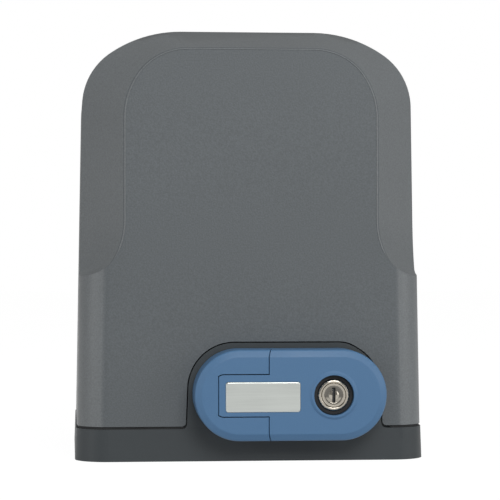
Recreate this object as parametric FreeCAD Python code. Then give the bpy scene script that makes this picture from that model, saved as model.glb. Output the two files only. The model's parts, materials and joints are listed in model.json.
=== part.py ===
import FreeCAD, Part

# Sliding gate motor: a lift-off cover over a die-cast base, a worm gearbox with its upright
# motor, the output pinion at the back, and a keyed release lever at the front.
# Frame: +X to the right seen from the front, +Y to the back, +Z up, in millimetres. The
# origin is the middle of the four anchor slots, on the underside of the base.

import math
import os

Vector = FreeCAD.Vector
UP = Vector(0, 0, 1)
BACK = Vector(0, 1, 0)
RIGHT = Vector(1, 0, 0)

# ---- Driving dimensions ------------------------------------------------------------------

# Clearances
SLIDE_GAP = 0.05            # radial, shaft in bore
REST_GAP = 0.3              # between pieces that face each other without touching
PARTING_GAP = 0.7           # visible joint lines

# Housing
COVER_WIDTH = 250.0         # across the cover at the seam
BODY_DEPTH = 196.0          # front face to back face
TOTAL_HEIGHT = 311.0
BASE_HEIGHT = 23.0          # painted rim of the base
SEAM_GAP = 1.8              # shadow groove between base and cover
COVER_WALL = 3.0
SIDE_DRAFT = 0.95           # degrees
FRONT_DRAFT = 0.5           # degrees
SHOULDER_REACH = 72.5       # rounded shoulder, along the top
SHOULDER_DROP = 55.0        # rounded shoulder, down the side
FRONT_EDGE_RADIUS = 23.0
BACK_EDGE_RADIUS = 10.0

# Front panel and the slanted band round it
BAND_WIDTH = 33.5           # cover side to panel edge
BAND_HEIGHT = 15.0          # cover top to panel edge
BAND_DEPTH = 35.0
BAND_RUNOUT = 3.7           # where the band meets the side
PANEL_CORNER_REACH = 46.0
PANEL_CORNER_DROP = 50.0
FLARE_TOP = 172.3
FLARE_DROP = 40.8
FLARE_REACH = 32.0          # at the panel
FLARE_SIDE_REACH = 12.8     # at the side

# Base
RIM_STEP = 0.5              # base stands out past the cover
FOOT_FLARE = 0.8
BASE_FLOOR = 5.0
BASE_WALL = 6.0
LIP_THICKNESS = 2.0
LIP_HEIGHT = 6.0
SEAL_SET_BACK = 1.2
ANCHOR_SPACING_X = 190.0
ANCHOR_SPACING_Y = 144.0
ANCHOR_SLOT_WIDTH = 11.0
ANCHOR_SLOT_LENGTH = 22.0
LEVELLING_SPACING = 140.0
LEVELLING_SCREW_DIAMETER = 8.0
CABLE_X = -84.0
CABLE_Y = -8.0
CABLE_HOLE_DIAMETER = 25.0

# Tongues of the base that fill the arches of the cover
TONGUE_THICKNESS = 5.8
TONGUE_SET_BACK = 0.0
ARCH_GAP = 0.8
FRONT_ARCH_X = 25.5
FRONT_ARCH_WIDTH = 140.0
FRONT_ARCH_TOP = 84.5
FRONT_ARCH_RADIUS = 33.0
REAR_ARCH_WIDTH = 122.0
REAR_ARCH_TOP = 160.0
REAR_ARCH_RADIUS = 30.0
ARCH_LEAN = 2.0             # degrees
ARCH_FOOT_RADIUS = 3.8

# Output shaft, in line with the release rod
SHAFT_X = -7.5
SHAFT_Z = 48.5

# Release lever
LEVER_X = 25.5
LEVER_WIDTH = 136.4
LEVER_HEIGHT = 64.4
LEVER_DEPTH = 28.0          # cover front to lever face
LEVER_SEAT = 1.0            # pad of the base stands out this far
BEVEL_WIDTH = 5.0
BEVEL_DEPTH = 2.5
BEVEL_RADIUS = 2.0
HINGE_OFFSET = 33.0         # hinge pin from the lever's middle
HINGE_DEPTH = 10.0          # hinge pin behind the lever's face
HINGE_PIN_DIAMETER = 6.0
HINGE_PIN_LENGTH = 54.0
ARM_RADIUS = 19.5           # rounded ends of the bracket's arms
TONGUE_RADIUS = 20.6        # rounded end of the lever's tongue
TONGUE_HEIGHT = 29.2
TONGUE_CORNER_RADIUS = 6.0
SLOT_MOUTH_DEPTH = 2.2
CAM_START_RADIUS = 13.0
LEVER_POCKET_DEPTH = 12.0
LEVER_WALL = 4.0
FINGER_GAP_WIDTH = 20.0
FINGER_GAP_DEPTH = 7.4
BADGE_WIDTH = 53.0
BADGE_HEIGHT = 21.5
BADGE_THICKNESS = 1.0
BADGE_SINK = 0.6
BADGE_OFFSET = -20.0
BADGE_DROP = 1.0              # below the lever's middle

# Lock
LOCK_OFFSET = 30.2          # from the lever's middle
LOCK_RECESS_DIAMETER = 28.4
LOCK_RECESS_DEPTH = 6.0
LOCK_COLLAR_DIAMETER = 34.4
LOCK_COLLAR_HEIGHT = 1.0
LOCK_HEAD_DIAMETER = 22.0
LOCK_HEAD_HEIGHT = 4.5
LOCK_PLUG_DIAMETER = 17.4
LOCK_BARREL_DIAMETER = 19.0
LOCK_BARREL_LENGTH = 27.4
LOCK_CORE_DIAMETER = 12.0
LOCK_NUT_WIDTH = 24.0
LOCK_NUT_HEIGHT = 4.0
KEY_SLOT_WIDTH = 2.3
KEY_SLOT_HEIGHT = 10.7
KEY_SLOT_DEPTH = 12.0
LOCK_CAM_LENGTH = 22.0
LOCK_CAM_WIDTH = 14.0
LOCK_CAM_THICKNESS = 2.0

# Release clutch
ROD_DIAMETER = 8.0
GUIDE_DIAMETER = 14.0
GUIDE_LENGTH = 10.0
SLEEVE_DIAMETER = 40.0
SLEEVE_LENGTH = 16.0
DOG_COUNT = 4
DOG_ANGLE = 40.0
DOG_LENGTH = 4.0
DOG_INNER_RADIUS = 12.0
DOG_OUTER_RADIUS = 19.0
CROSS_PIN_DIAMETER = 5.0
SPRING_LENGTH = 17.0
SPRING_MEAN_RADIUS = 13.5
SPRING_WIRE = 2.5
SPRING_TURNS = 3.5
SPRING_STEPS = 12            # flats per turn

# Gearbox
GEAR_MODULE = 2.0
ROOT_DEPTH = 1.25             # below the pitch circle, in modules
WHEEL_TEETH = 30
WHEEL_WIDTH = 14.0
WHEEL_HUB_DIAMETER = 34.0
WHEEL_HUB_LENGTH = 8.7
WORM_PITCH_DIAMETER = 20.0
WORM_LENGTH = 41.0
WORM_STEPS = 14              # flats per turn of the thread
TOOTH_BACKLASH = 0.35
SHAFT_DIAMETER = 20.0
SHOULDER_DIAMETER = 25.0
COLLAR_DIAMETER = 34.0
COLLAR_LENGTH = 4.0
HOUSING_RADIUS = 38.0
HOUSING_WALL = 4.5
HOUSING_TOP = 96.0
FLANGE_THICKNESS = 8.0
FOOT_PLATE_THICKNESS = 8.0
NOSE_DIAMETER = 58.0
NOSE_STAND_OUT = 2.0
NOSE_GAP = 0.3
TOWER_RADIUS = 20.0
GEARBOX_COVER_THICKNESS = 6.0
SEAL_WIDTH = 7.0
WEB_LENGTH = 14.0

# Bearings: bore, outer diameter, width
FRONT_BEARING = (20.0, 42.0, 12.0)
REAR_BEARING = (25.0, 47.0, 12.0)
WORM_BEARING = (10.0, 26.0, 8.0)
MOTOR_BEARING = (12.0, 32.0, 10.0)

# Pinion
PINION_MODULE = 4.0
PINION_TEETH = 17
PINION_WIDTH = 29.0
WASHER_DIAMETER = 30.0
WASHER_THICKNESS = 2.5
KEY_WIDTH = 6.0

# Motor
MOTOR_RADIUS = 54.0
MOTOR_FLANGE_HEIGHT = 28.0
STATOR_HEIGHT = 70.0
MOTOR_CAP_HEIGHT = 32.0
STATOR_BORE = 60.8
ROTOR_DIAMETER = 60.0
ROTOR_LENGTH = 54.0
MOTOR_BOLT_CIRCLE = 99.0
MOTOR_SHAFT_DIAMETER = 12.0

# Electrics
BRACKET_SHEET = 1.5
BRACKET_SET_BACK = 49.5     # cover front to bracket
BRACKET_LEFT = -108.0
BRACKET_WIDTH = 94.0
BRACKET_HEIGHT = 231.0
BRACKET_FOOT = 18.0
BOARD_WIDTH = 100.0
BOARD_HEIGHT = 130.0
BOARD_THICKNESS = 1.6
BOARD_LEFT = -106.0
BOARD_BOTTOM = 100.0
STANDOFF = 6.0
BUTTON_TRAVEL = 0.5
TRANSFORMER_SIZE = (54.0, 36.0, 55.0)
TRANSFORMER_EAR = 2.0
TRANSFORMER_EAR_REACH = 10.0
TRANSFORMER_X = -85.0
TRANSFORMER_Y = 38.0
CAPACITOR_DIAMETER = 40.0
CAPACITOR_HEIGHT = 85.0
CAPACITOR_X = 92.0
CAPACITOR_Y = -30.0

# Limit switch
LIMIT_Z = 132.0
LIMIT_BOX_WIDTH = 53.0
LIMIT_BOX_HEIGHT = 28.0
LIMIT_BOX_DEPTH = 19.5
LIMIT_WALL = 2.0
LIMIT_SWING = 30.0          # degrees each way
LIMIT_REACH = 62.0          # pivot to spring tip
LIMIT_SPRING_DIAMETER = 9.0
LIMIT_SPRING_WIRE = 1.6
LIMIT_SPRING_PITCH = 4.0
LIMIT_SPRING_STEPS = 8        # flats per turn

# Screws
M5 = 5.0
M5_HEAD = 8.5
M5_HEAD_HEIGHT = 4.0
COVER_SCREW_Z = 42.5

# ---- Derived places ----------------------------------------------------------------------

FRONT_FACE = -BODY_DEPTH / 2
BACK_FACE = BODY_DEPTH / 2
COVER_FOOT = BASE_HEIGHT + SEAM_GAP
RIM_HALF_WIDTH = COVER_WIDTH / 2 + RIM_STEP
RIM_HALF_DEPTH = BODY_DEPTH / 2 + RIM_STEP / 2
INNER_HALF_WIDTH = RIM_HALF_WIDTH - BASE_WALL
INNER_HALF_DEPTH = RIM_HALF_DEPTH - BASE_WALL
LIP_TOP = BASE_HEIGHT + LIP_HEIGHT
FRONT_TONGUE_BACK = FRONT_FACE + TONGUE_SET_BACK + TONGUE_THICKNESS
REAR_TONGUE_FRONT = BACK_FACE - TONGUE_SET_BACK - TONGUE_THICKNESS

LEVER_Z = SHAFT_Z
LEVER_FACE = FRONT_FACE - LEVER_DEPTH
PAD_FACE = FRONT_FACE - LEVER_SEAT
LEVER_BACK = PAD_FACE - 2 * REST_GAP
HINGE_X = LEVER_X - HINGE_OFFSET
HINGE_Y = LEVER_FACE + HINGE_DEPTH
CAM_TRAVEL = TONGUE_RADIUS - CAM_START_RADIUS
LOCK_X = LEVER_X + LOCK_OFFSET
LOCK_FLOOR = LEVER_FACE + LOCK_RECESS_DEPTH
LOCK_HEAD_FACE = LOCK_FLOOR - LOCK_HEAD_HEIGHT
BARREL_END = LOCK_FLOOR + LOCK_BARREL_LENGTH
LEVER_FLOOR = LEVER_BACK - LEVER_POCKET_DEPTH
LOCK_BOSS_BACK = LEVER_FLOOR + LOCK_NUT_HEIGHT

# The shaft's pieces, stacked from the nose towards the front
NOSE_END = BACK_FACE + NOSE_STAND_OUT
SEAL_START = NOSE_END - 1.0 - SEAL_WIDTH
REAR_BEARING_START = SEAL_START - REAR_BEARING[2]
COLLAR_END = REAR_BEARING_START - WEB_LENGTH
SPRING_END = COLLAR_END - COLLAR_LENGTH
SLEEVE_END = SPRING_END - SPRING_LENGTH
SLEEVE_START = SLEEVE_END - SLEEVE_LENGTH + REST_GAP
DOG_START = SLEEVE_END - SLEEVE_LENGTH - DOG_LENGTH
WHEEL_START = DOG_START - WHEEL_WIDTH
WHEEL_MIDDLE = DOG_START - WHEEL_WIDTH / 2
HUB_START = WHEEL_START - WHEEL_HUB_LENGTH
FRONT_BEARING_END = HUB_START - REST_GAP
FRONT_BEARING_START = FRONT_BEARING_END - FRONT_BEARING[2]
SHAFT_START = FRONT_BEARING_START - 3.0
GEARBOX_FRONT = FRONT_BEARING_START
GEARBOX_COVER_FACE = GEARBOX_FRONT - GEARBOX_COVER_THICKNESS
SHOULDER_END = NOSE_END + 1.0
PINION_END = SHOULDER_END + PINION_WIDTH
CROSS_PIN_Y = SLEEVE_END - SLEEVE_LENGTH / 2

WHEEL_PITCH_RADIUS = GEAR_MODULE * WHEEL_TEETH / 2
WORM_LEAD = math.pi * GEAR_MODULE
WORM_X = SHAFT_X + WHEEL_PITCH_RADIUS + WORM_PITCH_DIAMETER / 2
WORM_Y = WHEEL_MIDDLE
WHEEL_CAVITY_RADIUS = HOUSING_RADIUS - HOUSING_WALL
WORM_OUTER_RADIUS = WORM_PITCH_DIAMETER / 2 + GEAR_MODULE
WORM_BOTTOM = SHAFT_Z - WORM_LENGTH / 2
WORM_TOP = SHAFT_Z + WORM_LENGTH / 2
WORM_BEARING_BOTTOM = BASE_FLOOR + 9.0
STATOR_BOTTOM = HOUSING_TOP + MOTOR_FLANGE_HEIGHT
STATOR_TOP = STATOR_BOTTOM + STATOR_HEIGHT
MOTOR_TOP = STATOR_TOP + MOTOR_CAP_HEIGHT
BRACKET_Y = FRONT_FACE + BRACKET_SET_BACK
BOARD_BACK_Y = BRACKET_Y - STANDOFF
BOARD_FRONT_Y = BOARD_BACK_Y - BOARD_THICKNESS
LIMIT_BACK = REAR_TONGUE_FRONT
LIMIT_FRONT = LIMIT_BACK - LIMIT_BOX_DEPTH
LIMIT_PIVOT_Y = LIMIT_FRONT + LIMIT_BOX_DEPTH / 2
LIMIT_BOTTOM = LIMIT_Z - LIMIT_BOX_HEIGHT / 2
LIMIT_TOP = LIMIT_Z + LIMIT_BOX_HEIGHT / 2

# ---- Shape helpers -----------------------------------------------------------------------


def block(x0, x1, y0, y1, z0, z1):
    """Box between two corners."""
    return Part.makeBox(x1 - x0, y1 - y0, z1 - z0, Vector(x0, y0, z0))


def rod_x(radius, x0, x1, y, z):
    """Round bar along X."""
    return Part.makeCylinder(radius, x1 - x0, Vector(x0, y, z), RIGHT)


def rod_y(radius, y0, y1, x=SHAFT_X, z=SHAFT_Z):
    """Round bar along Y."""
    return Part.makeCylinder(radius, y1 - y0, Vector(x, y0, z), BACK)


def rod_z(radius, z0, z1, x, y):
    """Round bar along Z."""
    return Part.makeCylinder(radius, z1 - z0, Vector(x, y, z0), UP)


def turned_y(profile, x=SHAFT_X, z=SHAFT_Z):
    """Solid turned about a Y axis from (radius, y) points."""
    points = [Vector(x + radius, y, z) for radius, y in profile]
    face = Part.Face(Part.makePolygon(points + points[:1]))
    return face.revolve(Vector(x, 0, z), BACK, 360)


def turned_z(profile, x, y):
    """Solid turned about a Z axis from (radius, z) points."""
    points = [Vector(x + radius, y, z) for radius, z in profile]
    face = Part.Face(Part.makePolygon(points + points[:1]))
    return face.revolve(Vector(x, y, 0), UP, 360)


def joined(*shapes):
    """One solid from overlapping solids."""
    return shapes[0].fuse(list(shapes[1:])).removeSplitter()


def on_xz(y):
    """Places flat outline points on a plane that faces the front."""
    return lambda u, v: Vector(u, y, v)


def on_xy(z):
    """Places flat outline points on a level plane."""
    return lambda u, v: Vector(u, v, z)


def on_yz(x):
    """Places flat outline points on a plane that faces the side."""
    return lambda u, v: Vector(x, u, v)


def corner_arc(before, corner, after, radius):
    """Start, middle and end of the arc that rounds one corner."""
    to_before = (before - corner).normalize()
    to_after = (after - corner).normalize()
    half = to_before.getAngle(to_after) / 2
    reach = radius / math.tan(half)
    inward = (to_before + to_after).normalize()
    centre = corner + inward * (radius / math.sin(half))
    return corner + to_before * reach, centre - inward * radius, corner + to_after * reach


def rounded_wire(corners, plane):
    """Closed wire through (u, v, radius) corners, each rounded by its own radius."""
    points = [plane(u, v) for u, v, _ in corners]
    stops = []
    for index, (_, _, radius) in enumerate(corners):
        here = points[index]
        if radius > 0:
            stops.append(corner_arc(points[index - 1], here, points[(index + 1) % len(points)], radius))
        else:
            stops.append((here, None, here))
    edges = []
    for index, (start, middle, end) in enumerate(stops):
        if middle is not None:
            edges.append(Part.Arc(start, middle, end).toShape())
        following = stops[(index + 1) % len(stops)][0]
        if end.distanceToPoint(following) > 1e-6:
            edges.append(Part.makeLine(end, following))
    return Part.Wire(edges)


def prism(corners, plane, direction):
    """Solid swept from a rounded outline."""
    return Part.Face(rounded_wire(corners, plane)).extrude(direction)


def rectangle(u0, u1, v0, v1, radius):
    """Corners of a rectangle with one corner radius."""
    return [(u0, v0, radius), (u1, v0, radius), (u1, v1, radius), (u0, v1, radius)]


def plate_xz(u0, u1, v0, v1, radius, y0, y1):
    """Rounded rectangle seen from the front, from y0 back to y1."""
    return prism(rectangle(u0, u1, v0, v1, radius), on_xz(y0), Vector(0, y1 - y0, 0))


def plate_xy(u0, u1, v0, v1, radius, z0, z1):
    """Rounded rectangle seen from above, from z0 up to z1."""
    return prism(rectangle(u0, u1, v0, v1, radius), on_xy(z0), Vector(0, 0, z1 - z0))


def round_copies(shape, count, centre, axis, first=0.0):
    """Copies of a shape evenly spaced round an axis."""
    copies = []
    for index in range(count):
        copy = shape.copy()
        copy.rotate(centre, axis, first + index * 360.0 / count)
        copies.append(copy)
    return copies


def bearing_y(bearing, y0):
    """Shielded ball bearing on the output shaft, as one plain ring."""
    bore, outer, width = bearing
    return ring_y(bore / 2 + SLIDE_GAP, outer / 2, y0, y0 + width)


def bearing_z(bearing, z0):
    """Shielded ball bearing on the motor shaft."""
    bore, outer, width = bearing
    return turned_z([(bore / 2 + SLIDE_GAP, z0), (outer / 2, z0), (outer / 2, z0 + width),
                     (bore / 2 + SLIDE_GAP, z0 + width)], WORM_X, WORM_Y)


def ring_y(inner, outer, y0, y1):
    """Plain ring on the output shaft's axis."""
    return turned_y([(inner, y0), (outer, y0), (outer, y1), (inner, y1)])


def cap_screw(length):
    """M5 cap screw along -Z with the underside of its head at the origin."""
    head = Part.makeCylinder(M5_HEAD / 2, M5_HEAD_HEIGHT)
    return joined(head, Part.makeCylinder(M5 / 2, length, Vector(0, 0, -length)))


def hexagon(across_flats, z0, z1):
    """Six-sided prism on the Z axis."""
    radius = across_flats / math.sqrt(3)
    corners = [(radius * math.cos(math.radians(60 * k)), radius * math.sin(math.radians(60 * k)), 0)
               for k in range(6)]
    return prism(corners, on_xy(z0), Vector(0, 0, z1 - z0))


def aimed(shape, place, direction):
    """Moves a shape drawn along +Z so that it starts at a place and points another way."""
    result = shape.copy()
    result.Placement = FreeCAD.Placement(place, FreeCAD.Rotation(UP, direction))
    return result


# ---- Cover -------------------------------------------------------------------------------


def half_width(z):
    """Half the cover's width at a height; its sides lean in."""
    return COVER_WIDTH / 2 - (z - BASE_HEIGHT) * math.tan(math.radians(SIDE_DRAFT))


def oval_arc(start, end, centre, radius):
    """Arc between two points on the side away from its centre."""
    middle = ((start - centre) + (end - centre)).normalize()
    return Part.Arc(start, centre + middle * radius, end).toShape()


def oval_corner(side, corner, top):
    """Two tangent arcs that round a corner by unlike amounts along its two sides."""
    along_top = top - corner
    down_side = side - corner
    reach, drop = along_top.Length, down_side.Length
    along_top.normalize()
    down_side.normalize()
    middle = corner + along_top * reach + down_side * drop
    short, long = min(reach, drop), max(reach, drop)
    small = short * (0.999 - 0.6 * (long - short) / long)
    large = (reach ** 2 + drop ** 2 - 2 * long * small) / (2 * (short - small))
    side_radius, top_radius = (small, large) if reach > drop else (large, small)
    side_centre = middle - along_top * (reach - side_radius)
    top_centre = middle - down_side * (drop - top_radius)
    if reach > drop:
        joint = top_centre + (side_centre - top_centre).normalize() * top_radius
    else:
        joint = side_centre + (top_centre - side_centre).normalize() * side_radius
    return [oval_arc(side, joint, side_centre, side_radius), oval_arc(joint, top, top_centre, top_radius)]


def cover_outline(inset, foot):
    """Front view of the cover: leaning sides, oval shoulders and a flat top."""
    place = on_xz(FRONT_FACE - 1)
    top = TOTAL_HEIGHT - inset
    spring = TOTAL_HEIGHT - SHOULDER_DROP
    foot_x = half_width(foot) - inset
    side_x = half_width(spring) - inset
    flat_x = half_width(spring) - SHOULDER_REACH
    right, left = [
        oval_corner(place(s * side_x, spring), place(s * side_x, top), place(s * flat_x, top))
        for s in (1, -1)
    ]
    return Part.Wire(
        [Part.makeLine(place(-foot_x, foot), place(foot_x, foot)),
         Part.makeLine(place(foot_x, foot), place(side_x, spring))]
        + right + [Part.makeLine(place(flat_x, top), place(-flat_x, top))] + left[::-1]
        + [Part.makeLine(place(-side_x, spring), place(-foot_x, foot))]
    )


def panel_outline(share, inset):
    """Outline that the slanted band follows, from the panel (share 0) to the side (share 1)."""
    run = BAND_WIDTH - BAND_RUNOUT
    half = COVER_WIDTH / 2 - BAND_WIDTH + share * run - inset
    top = TOTAL_HEIGHT - BAND_HEIGHT * (1 - share) - inset
    reach = PANEL_CORNER_REACH + share * (SHOULDER_REACH - PANEL_CORNER_REACH) - inset
    drop = PANEL_CORNER_DROP + share * (SHOULDER_DROP - PANEL_CORNER_DROP) - inset
    flare = FLARE_REACH + share * (FLARE_SIDE_REACH - FLARE_REACH) + inset
    shelf = FLARE_TOP - FLARE_DROP - inset
    slant = math.hypot(BAND_DEPTH, run)
    place = on_xz(FRONT_FACE + share * BAND_DEPTH + inset * (slant - BAND_DEPTH) / run)
    low, wide = -BASE_HEIGHT, COVER_WIDTH

    def half_edges(s):
        foot_arcs = oval_corner(place(s * half, FLARE_TOP), place(s * half, shelf),
                                place(s * (half + flare), shelf))
        top_arcs = oval_corner(place(s * half, top - drop), place(s * half, top),
                               place(s * (half - reach), top))
        return (
            [Part.makeLine(place(s * wide, low), place(s * wide, shelf)),
             Part.makeLine(place(s * wide, shelf), place(s * (half + flare), shelf))]
            + foot_arcs[::-1] + [Part.makeLine(place(s * half, FLARE_TOP), place(s * half, top - drop))]
            + top_arcs
        )

    return Part.Wire(
        [Part.makeLine(place(-wide, low), place(wide, low))] + half_edges(1)
        + [Part.makeLine(place(half - reach, top), place(reach - half, top))] + half_edges(-1)[::-1]
    )


def front_y(z):
    """The leaning front face at a height."""
    return FRONT_FACE + (z - BASE_HEIGHT) * math.tan(math.radians(FRONT_DRAFT))


def lean_back(shape, y=FRONT_FACE):
    """Tips a tool by the front draft about the seam line."""
    shape.rotate(Vector(0, y, BASE_HEIGHT), RIGHT, -FRONT_DRAFT)
    return shape


def cover_form(inset, foot):
    """Solid form of the cover, shrunk by a wall thickness for its hollow."""
    body = Part.Face(cover_outline(inset, foot)).extrude(Vector(0, BODY_DEPTH + 1 - inset, 0))
    wide, tall = COVER_WIDTH, TOTAL_HEIGHT * 1.5
    body = body.cut(lean_back(block(-wide, wide, 2 * FRONT_FACE, FRONT_FACE + inset, -tall, tall)))
    back = BACK_FACE - inset
    back_edges = [edge for edge in body.Edges if edge.CenterOfMass.z > foot + 1
                  and all(abs(vertex.Y - back) < 1e-6 for vertex in edge.Vertexes)]
    body = body.makeFillet(BACK_EDGE_RADIUS - inset, back_edges)
    plug = Part.makeLoft([panel_outline(-0.3, inset), panel_outline(1.4, inset)], True, True)
    frame = block(-0.9 * wide, 0.9 * wide, FRONT_FACE - 0.2 * BAND_DEPTH,
                  FRONT_FACE + 1.35 * BAND_DEPTH, 0, tall)
    body = body.cut(lean_back(frame.cut(plug)))
    corners = [edge for edge in body.Edges
               if abs(edge.CenterOfMass.x) > half_width(edge.CenterOfMass.z) - inset - 0.5
               and edge.CenterOfMass.y < FRONT_FACE + inset + 3
               and edge.BoundBox.ZLength > BASE_HEIGHT]
    return body.makeFillet(FRONT_EDGE_RADIUS - inset, corners)


def arch(centre, width, top, radius, grow, foot, foot_radius, plane):
    """Arch outline with leaning legs that spread into a line at its foot."""
    half = width / 2 + grow
    crown = top + grow
    lean = math.tan(math.radians(ARCH_LEAN)) * (crown - foot)
    spread = foot_radius * 3
    low = foot - ARCH_FOOT_RADIUS * 2
    right = [(half + lean + spread, low, 0), (half + lean + spread, foot, 0),
             (half + lean, foot, foot_radius), (half, crown, radius + grow)]
    corners = [(centre + u, v, r) for u, v, r in right]
    corners += [(centre - u, v, r) for u, v, r in reversed(right)]
    return rounded_wire(corners, plane)


def front_arch(grow, foot, foot_radius, y0, y1):
    """Solid of the front arch between two depths."""
    wire = arch(FRONT_ARCH_X, FRONT_ARCH_WIDTH, FRONT_ARCH_TOP, FRONT_ARCH_RADIUS,
                grow, foot, foot_radius, on_xz(y0))
    return Part.Face(wire).extrude(Vector(0, y1 - y0, 0))


def rear_arch(grow, foot, foot_radius, y0, y1):
    """Solid of the rear arch between two depths."""
    wire = arch(SHAFT_X, REAR_ARCH_WIDTH, REAR_ARCH_TOP, REAR_ARCH_RADIUS,
                grow, foot, foot_radius, on_xz(y0))
    return Part.Face(wire).extrude(Vector(0, y1 - y0, 0))


# The cover's side screws pass through lugs that stand inside it.
LUG_OUTSIDE = INNER_HALF_WIDTH
LUG_THICKNESS = 4.5
LUG_TOP = COVER_SCREW_Z + 9.5
LUG_HALF_WIDTH = 9.0
SCREW_BOSS_RADIUS = 7.0
COUNTERBORE_RADIUS = 5.2
COVER_SCREW_SEAT = LUG_OUTSIDE + 2.2
COVER_NUT_THICKNESS = 4.0


def cover():
    """Lift-off moulded cover, open below, with an arch at the front and one at the back."""
    shell = cover_form(0, COVER_FOOT).cut(cover_form(COVER_WALL, COVER_FOOT - 2 * SEAM_GAP))
    outside = half_width(COVER_SCREW_Z)
    for side in (1, -1):
        x0, x1 = sorted((side * (LUG_OUTSIDE + REST_GAP), side * (outside - COVER_WALL / 2)))
        shell = joined(shell, rod_x(SCREW_BOSS_RADIUS, x0, x1, 0, COVER_SCREW_Z))
    for side in (1, -1):
        x0, x1 = sorted((side * COVER_SCREW_SEAT, side * (outside + 5)))
        shell = shell.cut(rod_x(COUNTERBORE_RADIUS, x0, x1, 0, COVER_SCREW_Z))
        x0, x1 = sorted((side * (LUG_OUTSIDE - 5), side * (outside + 5)))
        shell = shell.cut(rod_x(M5 / 2 + REST_GAP, x0, x1, 0, COVER_SCREW_Z))
    foot_radius = ARCH_FOOT_RADIUS - ARCH_GAP
    deep = COVER_WALL * 4
    shell = shell.cut(front_arch(ARCH_GAP, COVER_FOOT, foot_radius, FRONT_FACE - 5, FRONT_FACE + deep))
    return shell.cut(rear_arch(ARCH_GAP, COVER_FOOT, foot_radius, BACK_FACE - deep, BACK_FACE + 5))


def cover_screws():
    """Socket screws that hold the cover's sides to the lugs."""
    length = COVER_SCREW_SEAT - (LUG_OUTSIDE - LUG_THICKNESS - REST_GAP - COVER_NUT_THICKNESS) + 1
    head_height = half_width(COVER_SCREW_Z) - COVER_SCREW_SEAT - 0.4
    screws = []
    for side in (1, -1):
        head = aimed(Part.makeCylinder(M5_HEAD / 2, head_height).cut(hexagon(3.0, 1.0, head_height)),
                     Vector(side * COVER_SCREW_SEAT, 0, COVER_SCREW_Z), Vector(side, 0, 0))
        shank = aimed(Part.makeCylinder(M5 / 2, length),
                      Vector(side * COVER_SCREW_SEAT, 0, COVER_SCREW_Z), Vector(-side, 0, 0))
        screws.append(joined(head, shank))
    return Part.makeCompound(screws)


def cover_nuts():
    """Square nuts on the cover's screws, behind the lugs."""
    nuts = []
    near = LUG_OUTSIDE - LUG_THICKNESS - REST_GAP
    for side in (1, -1):
        x0, x1 = sorted((side * near, side * (near - COVER_NUT_THICKNESS)))
        nut = block(x0, x1, -4, 4, COVER_SCREW_Z - 4, COVER_SCREW_Z + 4)
        nuts.append(nut.cut(rod_x(M5 / 2, x0 - 1, x1 + 1, 0, COVER_SCREW_Z)))
    return Part.makeCompound(nuts)


# ---- Base --------------------------------------------------------------------------------


def plan_wire(grow, z):
    """Plan outline of the rim, grown or shrunk, with its own front and back corners."""
    half_x, half_y = RIM_HALF_WIDTH + grow, RIM_HALF_DEPTH + grow
    front, rear = FRONT_EDGE_RADIUS + grow, BACK_EDGE_RADIUS + RIM_STEP + grow
    rear = max(rear, 3.0)
    return rounded_wire([(-half_x, -half_y, front), (half_x, -half_y, front),
                         (half_x, half_y, rear), (-half_x, half_y, rear)], on_xy(z))


def plan_prism(grow, z0, z1):
    """Upright solid of the plan outline."""
    return Part.Face(plan_wire(grow, z0)).extrude(Vector(0, 0, z1 - z0))


def anchor_places():
    """Middles of the four anchor slots."""
    return [(sx * ANCHOR_SPACING_X / 2, sy * ANCHOR_SPACING_Y / 2) for sx in (-1, 1) for sy in (-1, 1)]


def levelling_places():
    """Places of the four levelling screws, beside the anchor slots."""
    return [(sx * LEVELLING_SPACING / 2, sy * ANCHOR_SPACING_Y / 2) for sx in (-1, 1) for sy in (-1, 1)]


BRACKET_SCREW_SPOTS = [
    (HINGE_X - 6.5, LEVER_Z + 23.0),
    (HINGE_X - 6.5, LEVER_Z - 23.0),
    (LEVER_X - LEVER_WIDTH / 2 + 6.8, LEVER_Z),
]
LOCK_WINDOW = (LOCK_X - 14.0, LOCK_X + 16.0, LEVER_Z - 27.0, LEVER_Z + 13.0)
LIMIT_SLOT_HALF_WIDTH = 16.0
LIMIT_SLOT_HALF_HEIGHT = 7.5
GEARBOX_FOOT = (SHAFT_X - 50.5, WORM_X + 27.5, GEARBOX_FRONT + 5.0, COLLAR_END - 9.0)
GEARBOX_SCREW_INSET = 7.0
FLOOR_SCREW_DEPTH = 3.8


def gearbox_screw_places():
    """Corners of the gearbox foot plate where its screws stand."""
    x0, x1, y0, y1 = GEARBOX_FOOT
    inset = GEARBOX_SCREW_INSET
    return [(x, y) for x in (x0 + inset, x1 - inset) for y in (y0 + inset, y1 - inset)]


def bracket_screw_places():
    """Screws in the foot of the circuit board's bracket."""
    y = BRACKET_Y + BRACKET_SHEET + BRACKET_FOOT / 2
    return [(BRACKET_LEFT + BRACKET_WIDTH * share, y) for share in (0.2, 0.8)]


def transformer_screw_places():
    """Screws in the two ears of the transformer."""
    reach = (TRANSFORMER_SIZE[1] + TRANSFORMER_EAR_REACH) / 2
    return [(TRANSFORMER_X, TRANSFORMER_Y + s * reach) for s in (-1, 1)]


def gusset(x, y_wall, y_toe, z_top):
    """Triangular rib from a tongue down to the floor."""
    corners = [(y_wall, BASE_FLOOR - 1, 0), (y_toe, BASE_FLOOR - 1, 0), (y_wall, z_top, 0)]
    return prism(corners, on_yz(x), Vector(4, 0, 0))


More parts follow.
